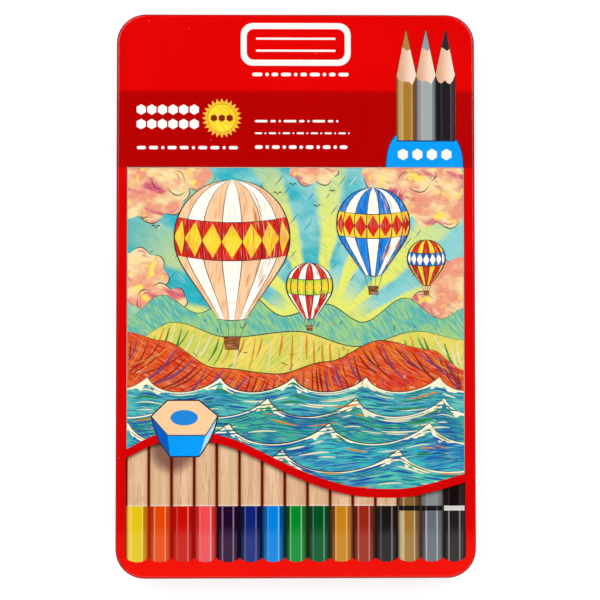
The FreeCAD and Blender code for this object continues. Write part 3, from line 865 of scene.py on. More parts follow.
# %% The wave between picture and pencils
PANEL_LEFT, PANEL_RIGHT, PANEL_TOP = -55.6, 55.5, 42.15
WAVE = ((-58.0, -51.6), (-55.4, -50.5), (-45.9, -45.9), (-35.7, -44.3), (-27.5, -45.5), (-18.4, -48.2),
        (1.3, -57.5), (16.0, -62.4), (28.6, -63.7), (39.1, -63.1), (55.4, -58.8), (58.0, -57.9))
WAVE_THICKNESS = 2.85
RIBBON_LEFT, RIBBON_RIGHT = -56.4, 56.2
ROW_LAYER = 13
RIBBON_LAYER = 16


def wave_slope(index):
    before = WAVE[max(index - 1, 0)]
    after = WAVE[min(index + 1, len(WAVE) - 1)]
    return (after[1] - before[1]) / (after[0] - before[0])


def wave_height(x):
    """The wave's height at x, by a cubic curve through its points."""
    index = 0
    while index < len(WAVE) - 2 and x > WAVE[index + 1][0]:
        index += 1
    (x0, y0), (x1, y1) = WAVE[index], WAVE[index + 1]
    span = x1 - x0
    share = (x - x0) / span
    square, cube = share ** 2, share ** 3
    return ((2 * cube - 3 * square + 1) * y0 + (cube - 2 * square + share) * span * wave_slope(index)
            + (3 * square - 2 * cube) * y1 + (cube - square) * span * wave_slope(index + 1))


def places_between(left, right, step):
    """Even places from left to right, about one step apart."""
    count = max(2, math.ceil((right - left) / step))
    return [left + (right - left) * index / count for index in range(count + 1)]


def wave_line(left, right, drop):
    """Points along the wave from left to right, lowered by drop."""
    return [(x, wave_height(x) - drop) for x in places_between(left, right, 1.6)]


ribbon_ink = Finish("ribbon_lacquer", IOR=LACQUER_IOR)
lacquer(ribbon_ink, ribbon_ink.place(), RIBBON_RED, 1.0)
ribbon = (wave_line(RIBBON_LEFT, RIBBON_RIGHT, 0.0)
          + wave_line(RIBBON_LEFT, RIBBON_RIGHT, WAVE_THICKNESS)[::-1])
new_piece("printed_wave_ribbon", [plate([ribbon], RIBBON_LAYER)], ribbon_ink.material)
print("wave height in the middle:", round(wave_height(0.0), 1), "mm")

# %% [markdown]
# Every printed barrel shows a bright middle facet between two sides of other shades, with a thin
# light line on either side of it. That repeats along the row, so one recipe works out how far
# across its barrel a point lies and places the three colours that it is given.

# %% Recipe: shading of a printed barrel
def make_barrel_recipe(name, lines, glow):
    """lines are the two bright lines, each by its share of the pitch and its half width."""
    recipe = SharedRecipe(
        name,
        [("Position", "Vector", None), ("Paint", "Color", BRIGHT_RED), ("Left", "Color", BRIGHT_RED),
         ("Right", "Color", BRIGHT_RED), ("Gap", "Color", BRIGHT_RED), ("Row Left", "Float", 0.0),
         ("Pitch", "Float", 0.007), ("Foot", "Float", 0.0), ("Left Shine", "Float", 1.0),
         ("Right Shine", "Float", 1.0)],
        [("Color", "Color")])
    given = recipe.given
    x, y, _ = recipe.split(given["Position"])
    share = ((x - given["Row Left"]) / given["Pitch"]).math("FRACT")
    from_gap = share.at_most(1.0 - share)
    first, last = lines[0][0], lines[1][0]
    shaded = recipe.blend(share.between(first - 0.03, first + 0.02), given["Left"], given["Paint"])
    shaded = recipe.blend(share.between(last - 0.02, last + 0.04), shaded, given["Right"])
    paler = recipe.wire(recipe.add("Gamma"), {"Color": given["Paint"], "Gamma": 0.5})
    tinted = recipe.blend(0.14, paler, WHITE)
    # Painted sheen: each barrel pales towards its foot, away from the gaps, by the strength glow.
    low = (y - given["Foot"]).between(0.0125, 0.007) * from_gap.between(0.02, 0.2)
    shaded = recipe.blend(low * glow, shaded, tinted)
    shaded = recipe.blend(from_gap.between(0.15, 0.0) * 0.85, shaded, given["Gap"])
    for (at, half), shine in zip(lines, (given["Left Shine"], given["Right Shine"])):
        on_line = abs(share - at).between(half, 0.3 * half)
        shaded = recipe.blend(on_line * shine, shaded, tinted)
    return recipe.give(Color=shaded)


# The last number is the strength of the painted sheen at the barrels' foot.
ROW_BARREL = make_barrel_recipe("row_barrel", ((0.25, 0.045), (0.73, 0.045)), 0.13)


def barrel_ink(name, recipe, colors, left, pitch, foot, shines):
    """colors are the middle facet, the left side, the right side and the gap between barrels."""
    finish = Finish(name, **INK_GLOSS)
    made = finish.use(recipe, Position=finish.place(), Paint=colors[0], Left=colors[1], Right=colors[2],
                      Gap=colors[3], Row_Left=left * MM, Pitch=pitch * MM, Foot=foot * MM,
                      Left_Shine=shines[0], Right_Shine=shines[1])
    finish.set(Base_Color=made["Color"])
    return finish.material


print("recipe:", ROW_BARREL.name)

# %% [markdown]
# Behind the barrels lies one long piece of printed wood with a dark gap between any two pencils.
# Each pencil has a warmth of its own, drawn by a number for the whole pencil, and darkens towards
# its sides. The badge above throws a round shadow on it.

# %% The printed row's wood
ROW_LEFT = -55.6
ROW_PITCH = 7.42
WOOD_END = -69.2
PLAIN_PENCILS = 12
BADGE_SHADOW_X, BADGE_SHADOW_Y = -40.5, -50.5
BADGE_SHADOW_WIDE, BADGE_SHADOW_HIGH = 9.0, 9.5


def finish_printed_wood():
    finish = Finish("printed_wood", **INK_GLOSS)
    place = finish.place()
    x, y, _ = finish.split(place)
    counted = (x - ROW_LEFT * MM) / (ROW_PITCH * MM)
    share = counted.math("FRACT")
    from_gap = share.at_most(1.0 - share)
    dice = finish.add("TexWhiteNoise")
    dice.noise_dimensions = "1D"
    own = finish.wire(dice, {"W": counted.math("FLOOR")}, "Value")
    warmth = finish.blend(own, srgb(226, 196, 158), srgb(238, 186, 154))
    wood = finish.blend(0.4, finish.use(WOOD, Position=place)["Color"], warmth)
    streaks = finish.grains(place, (0.0003, 0.011, 0.0003), detail=2.0).between(0.57, 0.68)
    wood = finish.blend(streaks * (0.2 + own * 0.5), wood, srgb(150, 104, 64))
    wood = finish.blend(from_gap.between(0.24, 0.05) * 0.45, wood, srgb(178, 108, 62))
    at_end = y.between((WOOD_END + 0.8) * MM, WOOD_END * MM)
    wood = finish.blend(at_end * 0.35, wood, PAPER)
    aside = (x - BADGE_SHADOW_X * MM) / (BADGE_SHADOW_WIDE * MM)
    above = (y - BADGE_SHADOW_Y * MM) / (BADGE_SHADOW_HIGH * MM)
    shaded = (aside * aside + above * above).between(1.0, 0.25)
    wood = finish.blend(shaded * 0.85, wood, srgb(112, 66, 60))
    finish.set(Base_Color=finish.blend(from_gap.between(0.1, 0.035), wood, srgb(96, 14, 4)))
    return finish.material


wood_right = ROW_LEFT + PLAIN_PENCILS * ROW_PITCH
wood_shape = (wave_line(ROW_LEFT, wood_right, WAVE_THICKNESS / 2)
              + [(wood_right, WOOD_END), (ROW_LEFT, WOOD_END)])
new_piece("printed_wood_row", [plate([wood_shape], ROW_LAYER)], finish_printed_wood())
print("printed wood ends at", round(wood_right, 1), "mm")

# %% [markdown]
# In front of the wood comes one dipped end for each colour, whose foot is a shallow arc. The
# three painted pencils have no wood, so their paint runs up to the wave and a ring crosses them
# where the others change from wood to paint.

# %% The printed barrels
FOOT = -87.45
FOOT_CUSP = -86.0
RING_DEPTH = 1.6
RING_SHINES = (0.2, 0.2)
# Left side, right side and gap of each barrel, and how bright its two lines are.
ROW_LOOKS = {
    "yellow": (srgb(238, 200, 70), srgb(196, 112, 12), srgb(150, 24, 0), 0.25, 0.5),
    "orange": (srgb(184, 52, 6), srgb(206, 58, 16), srgb(150, 4, 0), 0.6, 0.7),
    "red": (srgb(180, 14, 4), srgb(170, 8, 4), srgb(152, 2, 0), 0.25, 0.8),
    "coral": (srgb(196, 34, 32), srgb(194, 44, 38), srgb(110, 14, 10), 0.3, 0.9),
    "purple": (srgb(46, 4, 32), srgb(30, 3, 32), srgb(12, 6, 22), 0.9, 1.0),
    "navy": (srgb(16, 18, 50), srgb(8, 16, 68), srgb(10, 12, 48), 0.35, 0.45),
    "sky_blue": (srgb(8, 88, 156), srgb(6, 76, 136), srgb(2, 36, 56), 0.3, 0.9),
    "green": (srgb(18, 62, 26), srgb(34, 100, 36), srgb(10, 28, 10), 0.8, 1.0),
    "dark_green": (srgb(14, 56, 30), srgb(16, 62, 32), srgb(24, 34, 18), 0.35, 0.8),
    "ochre": (srgb(110, 58, 14), srgb(176, 104, 38), srgb(58, 24, 8), 0.6, 0.7),
    "brown": (srgb(102, 26, 14), srgb(104, 38, 28), srgb(48, 22, 18), 0.7, 0.8),
    "black": (srgb(36, 29, 25), srgb(27, 22, 20), srgb(26, 18, 16), 0.3, 0.9),
    "painted_gold": (srgb(190, 173, 126), srgb(112, 84, 58), srgb(58, 42, 32), 1.0, 0.8),
    "painted_silver": (srgb(78, 68, 66), srgb(98, 102, 106), srgb(40, 38, 38), 1.0, 0.9),
    "painted_black": (srgb(30, 28, 27), srgb(50, 40, 42), srgb(28, 24, 24), 1.0, 0.9),
}
# Above its ring each of the last three is lit more softly: middle, left, right, gap, two lines.
CAP_LOOKS = {
    "painted_gold": (srgb(132, 96, 48), srgb(124, 90, 50), srgb(98, 66, 36), srgb(62, 34, 20), 0.8, 0.3),
    "painted_silver": (srgb(134, 137, 137), srgb(112, 112, 110), srgb(118, 120, 118), srgb(66, 56, 54),
                       0.15, 0.15),
    "painted_black": (srgb(24, 10, 13), srgb(24, 21, 20), srgb(42, 36, 34), srgb(26, 18, 18), 0.1, 0.1),
}


def row_piece(name, loop, rise, looks):
    """One printed shape of the row. looks are four colours and the brightness of two lines."""
    ink = barrel_ink(name, ROW_BARREL, looks[:4], ROW_LEFT, ROW_PITCH, FOOT, looks[4:])
    return [plate([loop], ROW_LAYER + rise)], ink


def foot_arc(left, right):
    shares = [step / 10 for step in range(11)]
    return [(left + (right - left) * share,
             FOOT_CUSP + (FOOT - FOOT_CUSP) * math.sin(math.pi * share) ** 0.7) for share in shares]


for index, (name, paint, ring) in enumerate(PENCILS):
    left = ROW_LEFT + index * ROW_PITCH
    right = min(left + ROW_PITCH, PANEL_RIGHT)
    top = [(right, WOOD_END), (left, WOOD_END)]
    if ring:
        top = wave_line(left, right, WAVE_THICKNESS / 2)[::-1]
    printed = "printed_" + name
    barrel = foot_arc(left, right) + top
    new_piece(printed + "_barrel", *row_piece(printed, barrel, 0.6, (paint, *ROW_LOOKS[name])))
    if ring:
        cap = [(left, WOOD_END), (right, WOOD_END)] + top
        band = rectangle(left + 0.3, right - 0.2, WOOD_END - RING_DEPTH, WOOD_END)
        new_piece(printed + "_cap", *row_piece(printed + "_cap", cap, 0.9, CAP_LOOKS[name]))
        new_piece(printed + "_ring", *row_piece(printed + "_ring", band, 1.2, (ring,) * 4 + RING_SHINES))
print("printed pencils:", len(PENCILS), "at a pitch of", ROW_PITCH, "mm")

# %% [markdown]
# A thin dark line and a pale one inside it frame the picture and the row. The ribbon throws a
# soft shadow on the pencils. A printed shadow fades out, and a mesh can carry that fading: each
# corner of the shadow's plate keeps a number for how far it lies from the ribbon.

# %% The frames and the ribbon's shadow
DARK_FRAME_OUT, DARK_FRAME_WIDTH, DARK_FRAME_LAYER = 0.12, 0.36, 0.8
PALE_FRAME_IN, PALE_FRAME_WIDTH, PALE_FRAME_LAYER = 0.14, 0.24, ROW_LAYER - 0.1
SHADOW_OVERLAP = 0.2
SHADOW_DEPTH = 1.9


def frame_lines(outward, left_foot, right_foot, width, layer):
    """Three sides of a frame, open at the foot."""
    left, right, top = PANEL_LEFT - outward, PANEL_RIGHT + outward, PANEL_TOP + outward
    return straight_lines([(left, left_foot), (left, top), (right, top), (right, right_foot)], width, layer)


def shadow_ink(name):
    finish = Finish(name, **INK_GLOSS)
    kept = finish.add("Attribute")
    kept.attribute_name = "shade"
    shade = finish.outputs(kept)["Fac"]
    cloud = finish.grains(finish.place(), (0.002, 0.002, 0.002))
    finish.set(Base_Color=finish.blend(cloud, srgb(60, 8, 4), srgb(40, 6, 4)),
               Alpha=shade.math("POWER", 1.6) * 0.7)
    return finish.material


new_piece("printed_frame_dark",
          frame_lines(DARK_FRAME_OUT, FOOT_CUSP, FOOT_CUSP, DARK_FRAME_WIDTH, DARK_FRAME_LAYER),
          flat_ink("frame_dark", srgb(140, 0, 0)))
new_piece("printed_frame_pale",
          frame_lines(-PALE_FRAME_IN, wave_height(PANEL_LEFT), wave_height(PANEL_RIGHT), PALE_FRAME_WIDTH,
                      PALE_FRAME_LAYER),
          flat_ink("frame_pale", srgb(250, 190, 170)))
shadow_top = wave_line(ROW_LEFT, PANEL_RIGHT, WAVE_THICKNESS - SHADOW_OVERLAP)
shadow_foot = wave_line(ROW_LEFT, PANEL_RIGHT, WAVE_THICKNESS + 1.7)
shadow_shape = plate([shadow_top + shadow_foot[::-1]], ROW_LAYER + 1.8)
ribbon_shadow = new_piece("printed_ribbon_shadow", [shadow_shape], shadow_ink("printed_ribbon_shadow"))
shade = ribbon_shadow.data.attributes.new("shade", "FLOAT", "POINT")
for vertex in ribbon_shadow.data.vertices:
    x, y = vertex.co.x / MM, vertex.co.y / MM
    below = wave_height(x) - WAVE_THICKNESS + SHADOW_OVERLAP - y
    shade.data[vertex.index].value = max(0.0, 1 - below / SHADOW_DEPTH)
print("corners of the shadow:", len(ribbon_shadow.data.vertices))

# %% [markdown]
# In the top corner three sharpened pencils stand in a blue tab. Each is a barrel, a wooden cone
# with the scalloped border of a sharpened hexagon, and a lead. The barrels touch, and their light
# comes from the left, so they take a second shading of the same kind as the row's.

# %% The three pencils in the corner
CORNER_LEFT = 33.4
CORNER_PITCH = 6.43
BARREL_FOOT = 50.9
BARREL_TOP = 73.3
LEAD_END = 81.6
TIP_OF_PRINT = 87.8
# Name, colours of the barrel, lead, two shines, lean of the tip, and the scalloped border's
# points: share of the pitch and height.
CORNER_PENCILS = (
    ("gold", (srgb(170, 119, 48), srgb(190, 154, 86), srgb(122, 83, 44), srgb(96, 64, 34)),
     srgb(176, 128, 56), (0.5, 0.5), -0.1,
     ((0.0, 72.4), (0.1, 71.0), (0.3, 70.6), (0.62, 70.5), (0.8, 69.5), (0.93, 71.2), (1.0, 72.8))),
    ("silver", (srgb(157, 168, 167), srgb(147, 145, 145), srgb(126, 137, 138), srgb(72, 76, 78)),
     srgb(148, 150, 162), (0.3, 0.2), 0.05,
     ((0.0, 72.4), (0.12, 71.2), (0.3, 70.6), (0.52, 70.9), (0.78, 69.8), (0.92, 71.4), (1.0, 72.6))),
    ("black", (srgb(33, 29, 34), srgb(24, 26, 30), srgb(66, 52, 54), srgb(40, 34, 36)),
     srgb(44, 38, 46), (0.1, 0.25), 0.2,
     ((0.0, 72.8), (0.12, 70.8), (0.24, 70.0), (0.36, 70.2), (0.48, 71.1), (0.6, 70.2), (0.74, 69.8),
      (0.88, 70.8), (1.0, 72.8))),
)
CORNER_BARREL = make_barrel_recipe("corner_barrel", ((0.3, 0.06), (0.78, 0.045)), 0.0)


def finish_cone():
    """Bare wood that grows paler from the left of each cone to its right."""
    finish = Finish("printed_cone_wood", **INK_GLOSS)
    place = finish.place()
    x, _, _ = finish.split(place)
    share = ((x - CORNER_LEFT * MM) / (CORNER_PITCH * MM)).math("FRACT")
    light = finish.blend(share.between(0.1, 0.9), srgb(218, 168, 134), srgb(253, 220, 198))
    fibre = finish.grains(place, (0.0003, 0.004, 0.0003), detail=2.0).between(0.5, 0.75)
    finish.set(Base_Color=finish.blend(fibre * 0.3, light, srgb(206, 150, 112)))
    return finish.material


cones, halo = [], []
for index, (name, colors, lead, shines, lean, scallop) in enumerate(CORNER_PENCILS):
    left = CORNER_LEFT + index * CORNER_PITCH
    right = left + CORNER_PITCH
    tip = ((left + right) / 2 + lean, TIP_OF_PRINT)
    border = [(left + share * CORNER_PITCH, y) for share, y in scallop]
    cone_foot = scallop[0][1]
    share = (TIP_OF_PRINT - LEAD_END) / (TIP_OF_PRINT - cone_foot)
    lead_left = (tip[0] + (left - tip[0]) * share, LEAD_END + 0.5)
    lead_right = (tip[0] + (right - tip[0]) * share, LEAD_END - 0.1)
    lead_low = (tip[0] + 0.5, LEAD_END - 0.8)
    cones.append(plate([border + [lead_right, lead_left]], 3 + 0.2 * index))
    for side in (left, right):
        halo += straight_lines([(side, BARREL_FOOT), (side, cone_foot), tip], 0.7, 1)
    new_piece("printed_corner_" + name + "_barrel",
              [plate([rectangle(left, right, BARREL_FOOT, BARREL_TOP)], 2)],
              barrel_ink("corner_" + name, CORNER_BARREL, colors, CORNER_LEFT, CORNER_PITCH, BARREL_FOOT,
                         shines))
    new_piece("printed_corner_" + name + "_lead", [plate([[lead_left, lead_low, lead_right, tip]], 5)],
              flat_ink("corner_" + name + "_lead", lead))
new_piece("printed_cones", cones, finish_cone())
new_piece("printed_corner_halo", halo, flat_ink("halo_red", srgb(160, 8, 4)))
print("cones:", len(CORNER_PENCILS))

# %% [markdown]
# The blue tab under the three pencils rises from the picture's top edge between two curved sides.
# A thin dark line follows them and runs along under the barrels.

# %% The blue tab
TAB_LEFT, TAB_RIGHT = 29.7, 55.4
TAB_BLUE = srgb(0, 156, 250)
LEFT_CURVE = ((0.0, 0.0), (0.25, 3.2), (0.95, 6.5), (2.2, 9.3), (3.6, 11.0))
RIGHT_CURVE = ((0.0, 0.0), (0.25, 3.2), (0.95, 6.5), (2.4, 9.4))

tab_left = [(TAB_LEFT + x, PANEL_TOP + y) for x, y in LEFT_CURVE]
tab_right = [(TAB_RIGHT - x, PANEL_TOP + y) for x, y in RIGHT_CURVE]
corner_right = CORNER_LEFT + 3 * CORNER_PITCH
tab_top = [(CORNER_LEFT, BARREL_FOOT - 0.1), (corner_right, BARREL_FOOT - 0.1)]
new_piece("printed_tab", [plate([tab_left + tab_top + tab_right[::-1]], 2)], flat_ink("tab_blue", TAB_BLUE))
new_piece("printed_tab_line",
          [even_line(tab_left, 0.35, 3), even_line(tab_right, 0.35, 3),
           even_line([(CORNER_LEFT, BARREL_FOOT), (corner_right, BARREL_FOOT)], 0.4, 3)],
          flat_ink("tab_shadow", srgb(20, 40, 96)))
print("tab from", TAB_LEFT, "to", TAB_RIGHT, "mm")

# %% [markdown]
# The marks at the top of the lid are plain shapes: a bare field for the owner's name, twelve small
# hexagons, four more on the blue tab, and rows of dashes that fill the lines between. A dash is a
# plate with round ends, made by the same flat curve.

# %% White marks
FIELD_LEFT, FIELD_RIGHT, FIELD_LOW, FIELD_HIGH = -18.2, 18.2, 75.8, 90.0
FIELD_LINE = 2.0
# Left end, right end, height and thickness of each row of dashes, their lengths and the gap.
DASH_ROWS = (
    (-14.4, 18.6, 72.9, 1.2, (3.4, 1.2, 2.2), 0.9),
    (-52.4, -17.3, 48.6, 1.1, (3.0, 3.0, 1.1), 1.0),
    (-13.5, 18.6, 57.4, 0.8, (4.2, 1.8, 0.8), 0.9),
    (-13.5, 18.6, 53.4, 0.6, (2.4, 0.6), 0.8),
    (-13.5, 18.6, 48.8, 1.2, (2.6, 1.2), 0.9),
)


def capsule(left, y, length, thick):
    """A dash with round ends."""
    half = thick / 2
    turns = [math.pi * step / 6 for step in range(7)]
    ends = [(left + half - half * math.sin(turn), y + half * math.cos(turn)) for turn in turns]
    return ends + [(2 * left + length - x, y - (point_y - y)) for x, point_y in ends]


def dashes(left, right, y, thick, lengths, gap):
    """Dashes that repeat a pattern of lengths until the line is full."""
    marks, x, index = [], left, 0
    while x + lengths[index % len(lengths)] <= right:
        length = lengths[index % len(lengths)]
        marks.append(plate([capsule(x, y, length, thick)], 2))
        x += length + gap
        index += 1
    return marks


def hexagon(x, y, radius):
    return round_points(x, y, radius, 6, start=math.pi / 6)


def rounded_box(left, right, bottom, top, corner):
    points = []
    for x, y, start in ((right, top, 0), (left, top, 90), (left, bottom, 180), (right, bottom, 270)):
        middle_x = x - corner if x == right else x + corner
        middle_y = y - corner if y == top else y + corner
        for step in range(7):
            angle = math.radians(start + 15 * step)
            points.append((middle_x + corner * math.cos(angle), middle_y + corner * math.sin(angle)))
    return points


outside = rounded_box(FIELD_LEFT, FIELD_RIGHT, FIELD_LOW, FIELD_HIGH, 4.0)
inside = rounded_box(FIELD_LEFT + FIELD_LINE, FIELD_RIGHT - FIELD_LINE, FIELD_LOW + FIELD_LINE,
                     FIELD_HIGH - FIELD_LINE, 2.4)
marks = [plate([outside, inside], 2)]
marks += [plate([capsule(FIELD_LEFT + 5, y, FIELD_RIGHT - FIELD_LEFT - 10, 0.7)], 2) for y in (84.8, 80.8)]
for y in (61.2, 56.4):
    marks += [plate([hexagon(-51.0 + 3.5 * step, y, 1.75)], 2) for step in range(6)]
for dash_row in DASH_ROWS:
    marks += dashes(*dash_row)
marks += [plate([hexagon(35.4 + 4.8 * step, 46.4, 1.9)], 4) for step in range(4)]
new_piece("printed_white_marks", marks, flat_ink("white_ink", srgb(250, 246, 242)))
print("marks:", len(marks))

# %% [markdown]
# Beside the hexagons lies a plain seal: a toothed rim, a yellow disc on it, then a thin ring and
# three small hexagons.

# %% The seal beside the hexagons
STAR_X, STAR_Y = -24.4, 58.4
STAR_CORNERS = 48

tips = round_points(STAR_X, STAR_Y, 6.6, STAR_CORNERS)
notches = round_points(STAR_X, STAR_Y, 5.2, STAR_CORNERS)
star = [pair[step % 2] for step, pair in enumerate(zip(tips, notches))]
new_piece("printed_star", [plate([star], 1)], flat_ink("star_orange", srgb(252, 190, 60)))
new_piece("printed_star_disc", [plate([round_points(STAR_X, STAR_Y, 4.9, STAR_CORNERS)], 2)],
          crayon_ink("star_yellow", srgb(255, 226, 24), srgb(250, 200, 40), 40.0, 8.0))
new_piece("printed_star_ring",
          [stroke(round_points(STAR_X, STAR_Y, 4.7, 24), 0.25, 3, taper=False, closed=True)],
          flat_ink("star_ring", srgb(226, 160, 24)))
new_piece("printed_star_hexagons",
          [plate([hexagon(STAR_X + aside, STAR_Y, 1.2)], 3) for aside in (-2.6, 0.0, 2.6)],
          flat_ink("star_brown", srgb(128, 34, 10)))
print("star at", STAR_X, STAR_Y, "mm")

# %% [markdown]
# The badge over the wave is a hexagonal pencil seen end on and cut short: a wooden face, a round
# core drawn as an ellipse, and three painted sides that narrow towards the bottom.

# %% The badge
BADGE_FACE = [(-47.5, -39.8), (-42.1, -46.1), (-29.5, -46.1), (-25.6, -39.7), (-31.8, -34.6), (-42.1, -34.6)]
LOW_LEFT, LOW_RIGHT = (-41.2, -53.0), (-31.7, -53.0)
BADGE_LEFT = [BADGE_FACE[0], (-46.6, -43.1), (-44.7, -48.3), LOW_LEFT, BADGE_FACE[1]]
BADGE_MIDDLE = [BADGE_FACE[1], LOW_LEFT, LOW_RIGHT, BADGE_FACE[2]]
BADGE_RIGHT = [BADGE_FACE[2], LOW_RIGHT, (-28.4, -47.9), (-26.5, -43.5), BADGE_FACE[3]]
BADGE_OUTLINE = BADGE_LEFT[:4] + BADGE_RIGHT[1:] + BADGE_FACE[4:]
GLINT = [(-46.7, -40.0), (-41.9, -45.6), (-29.8, -45.6), (-26.3, -39.9)]
CORE_X, CORE_Y = -36.65, -40.3

for name, loop, ink, color in (
        ("left", BADGE_LEFT, "badge_shade", srgb(0, 92, 196)),
        ("middle", BADGE_MIDDLE, "badge_blue", TAB_BLUE),
        ("right", BADGE_RIGHT, "badge_light", srgb(176, 222, 250)),
        ("face", BADGE_FACE, "badge_wood", srgb(255, 208, 158))):
    new_piece("printed_badge_" + name, [plate([loop], RIBBON_LAYER + 1)], flat_ink(ink, color))
new_piece("printed_badge_core",
          [plate([round_points(CORE_X, CORE_Y, 4.5, 32, squash=0.56)], RIBBON_LAYER + 3)],
          flat_ink("badge_core", srgb(30, 136, 220)))
new_piece("printed_badge_line",
          straight_lines(BADGE_OUTLINE, 0.4, RIBBON_LAYER + 4, closed=True)
          + straight_lines(BADGE_FACE[:4], 0.3, RIBBON_LAYER + 4),
          flat_ink("badge_outline", srgb(24, 34, 60)))
new_piece("printed_badge_glint", straight_lines(GLINT, 0.3, RIBBON_LAYER + 3),
          flat_ink("badge_glint", srgb(255, 236, 208)))
print("badge", round(BADGE_FACE[3][0] - BADGE_FACE[0][0], 1), "mm wide")

# %% [markdown]
# The picture panel holds a landscape of its own: balloons over hills and a river, drawn as if
# with colored pencils. The sky is the lowest layer and carries the sun's soft rays in its
# recipe, because soft-edged rays are easier as a mask of the angle round the sun than as shapes.

# %% The picture: sky
SUN_X, SUN_Y = 8.0, -14.0
SKY_LOW = -30.0
RAY_COUNT = 17.0
AIR_COVER, AIR_BARE = 0.56, 0.16
TEAL_SKY, PALE_SKY, RAY_YELLOW = srgb(38, 176, 190), srgb(140, 208, 208), srgb(232, 234, 104)


def finish_sky():
    finish = Finish("drawn_sky", **INK_GLOSS)
    place = finish.place()
    x, y, _ = finish.split(place)
    wide, high = x - SUN_X * MM, y - SUN_Y * MM
    reach = hypotenuse(wide, high)
    wander = finish.grains(place, (0.014, 0.014, 0.014)) * 2.2
    rays = (high.math("ARCTAN2", wide) * RAY_COUNT + wander).math("SINE")
    lit = (rays.between(-0.3, 0.7) * reach.between(0.085, 0.03)) | reach.between(0.024, 0.012)
    drift = finish.grains(place, (0.013, 0.009, 0.013), detail=3.0) - x * 4.0
    sky = finish.blend(drift.between(0.36, 0.66), PALE_SKY, TEAL_SKY)
    sky = finish.blend(lit, sky, RAY_YELLOW)
    deeper = finish.blend(0.3, sky, srgb(60, 160, 160))
    return hatch(finish, place, sky, deeper, turn=52, length=5, cover=AIR_COVER, bare=AIR_BARE)


sky_shape = rectangle(PANEL_LEFT, PANEL_RIGHT, SKY_LOW, PANEL_TOP)
new_piece("drawn_sky", [plate([sky_shape], 1)], finish_sky())
print("panel", round(PANEL_RIGHT - PANEL_LEFT, 1), "mm wide")

# %% [markdown]
# The drawing's lines are collected by crayon while the picture grows, and become one piece for
# each crayon at the end. One seeded source of chance places them, so that the picture comes out
# the same every time.

# %% Pens and crayons
PEN = random.Random(11)
CRAYONS = {"pink": srgb(232, 130, 160), "peach": srgb(246, 186, 138), "violet": srgb(120, 60, 120),
           "cream": srgb(253, 246, 206), "blue": srgb(24, 86, 178), "teal": srgb(20, 142, 150),
           "green": srgb(40, 142, 66), "red": srgb(150, 20, 20), "orange": srgb(240, 140, 40)}
TINTS = {color: [] for color in CRAYONS}
LINES = []
LINE_LAYER = 12


def add_line(points, width=0.3, layer=LINE_LAYER):
    """A dark contour line."""
    LINES.append(stroke(points, width, layer))


def add_tint(color, points, width, layer):
    TINTS[color].append(stroke(points, width, layer))


print("crayons:", ", ".join(CRAYONS))

# %% [markdown]
# Clouds are rings of bulging arcs in a wash of cream, salmon and a deep pink that run into each
# other, so the colours come from soft noise and not from shapes. Each cloud gets loose contour
# lines. Clouds may run over the panel's side, so their plates are cropped there.

# %% The picture: clouds
PANEL_LOW = -66.0
PANEL_MARGIN = 0.6
ARC_STEPS = 6
BULGE = 0.34
# Middle, half width, half height and number of bulges.
CLOUDS = ((-49, 34, 13, 8, 9), (-38, 40, 10, 5, 8), (47, 33, 14, 9, 10), (34, 40, 12, 5, 8),
          (-52, 6, 9, 8, 8), (52, 2, 10, 9, 9), (42, -6, 9, 5, 7), (-44, -2, 8, 4, 7), (6, 41, 8, 3.5, 7))


def crop_to_panel(shape):
    """Cuts a plate off at the panel's four sides and closes the cuts."""
    for place, outward in (((PANEL_LEFT, 0, 0), (-1, 0, 0)), ((PANEL_RIGHT, 0, 0), (1, 0, 0)),
                           ((0, PANEL_LOW, 0), (0, -1, 0)), ((0, PANEL_TOP, 0), (0, 1, 0))):
        everything = shape.verts[:] + shape.edges[:] + shape.faces[:]
        cut = bmesh.ops.bisect_plane(shape, geom=everything, plane_co=[v * MM for v in place],
                                     plane_no=outward, clear_outer=True, dist=1e-8)
        border = [part for part in cut["geom_cut"] if isinstance(part, bmesh.types.BMEdge)]
        if border:
            bmesh.ops.holes_fill(shape, edges=border)
    return shape


def inside_panel(x, y):
    return (PANEL_LEFT + PANEL_MARGIN < x < PANEL_RIGHT - PANEL_MARGIN
            and y < PANEL_TOP - PANEL_MARGIN)


def puff(x, y, wide, high, lobes):
    """An ellipse whose sides bulge outwards between its points."""
    turns = [math.tau * step / lobes + 0.3 for step in range(lobes)]
    ring = [(x + wide * math.cos(turn), y + high * math.sin(turn)) for turn in turns]
    points = []
    for (x0, y0), (x1, y1) in zip(ring, ring[1:] + ring[:1]):
        for step in range(ARC_STEPS):
            share = step / ARC_STEPS
            lift = BULGE * math.sin(math.pi * share)
            points.append((x0 + (x1 - x0) * share + (y1 - y0) * lift,
                           y0 + (y1 - y0) * share - (x1 - x0) * lift))
    return points


def finish_cloud():
    finish = Finish("cloud_wash", **INK_GLOSS)
    place = finish.place()
    warm = finish.grains(place, (0.0075, 0.0055, 0.0075), 0.5, detail=3.0)
    deep = finish.grains(place, (0.011, 0.0042, 0.011), -0.4, detail=3.0)
    gold = finish.grains(place, (0.005, 0.004, 0.005), 1.2, detail=2.0)
    wash = finish.blend(warm.between(0.40, 0.62), srgb(246, 222, 162), srgb(236, 152, 124))
    wash = finish.blend(deep.between(0.54, 0.68), wash, srgb(206, 84, 118))
    wash = finish.blend(gold.between(0.58, 0.7), wash, srgb(250, 226, 92))
    darker = finish.blend(0.3, wash, srgb(226, 128, 104))
    return hatch(finish, place, wash, darker, turn=70, length=4, cover=AIR_COVER, bare=AIR_BARE)


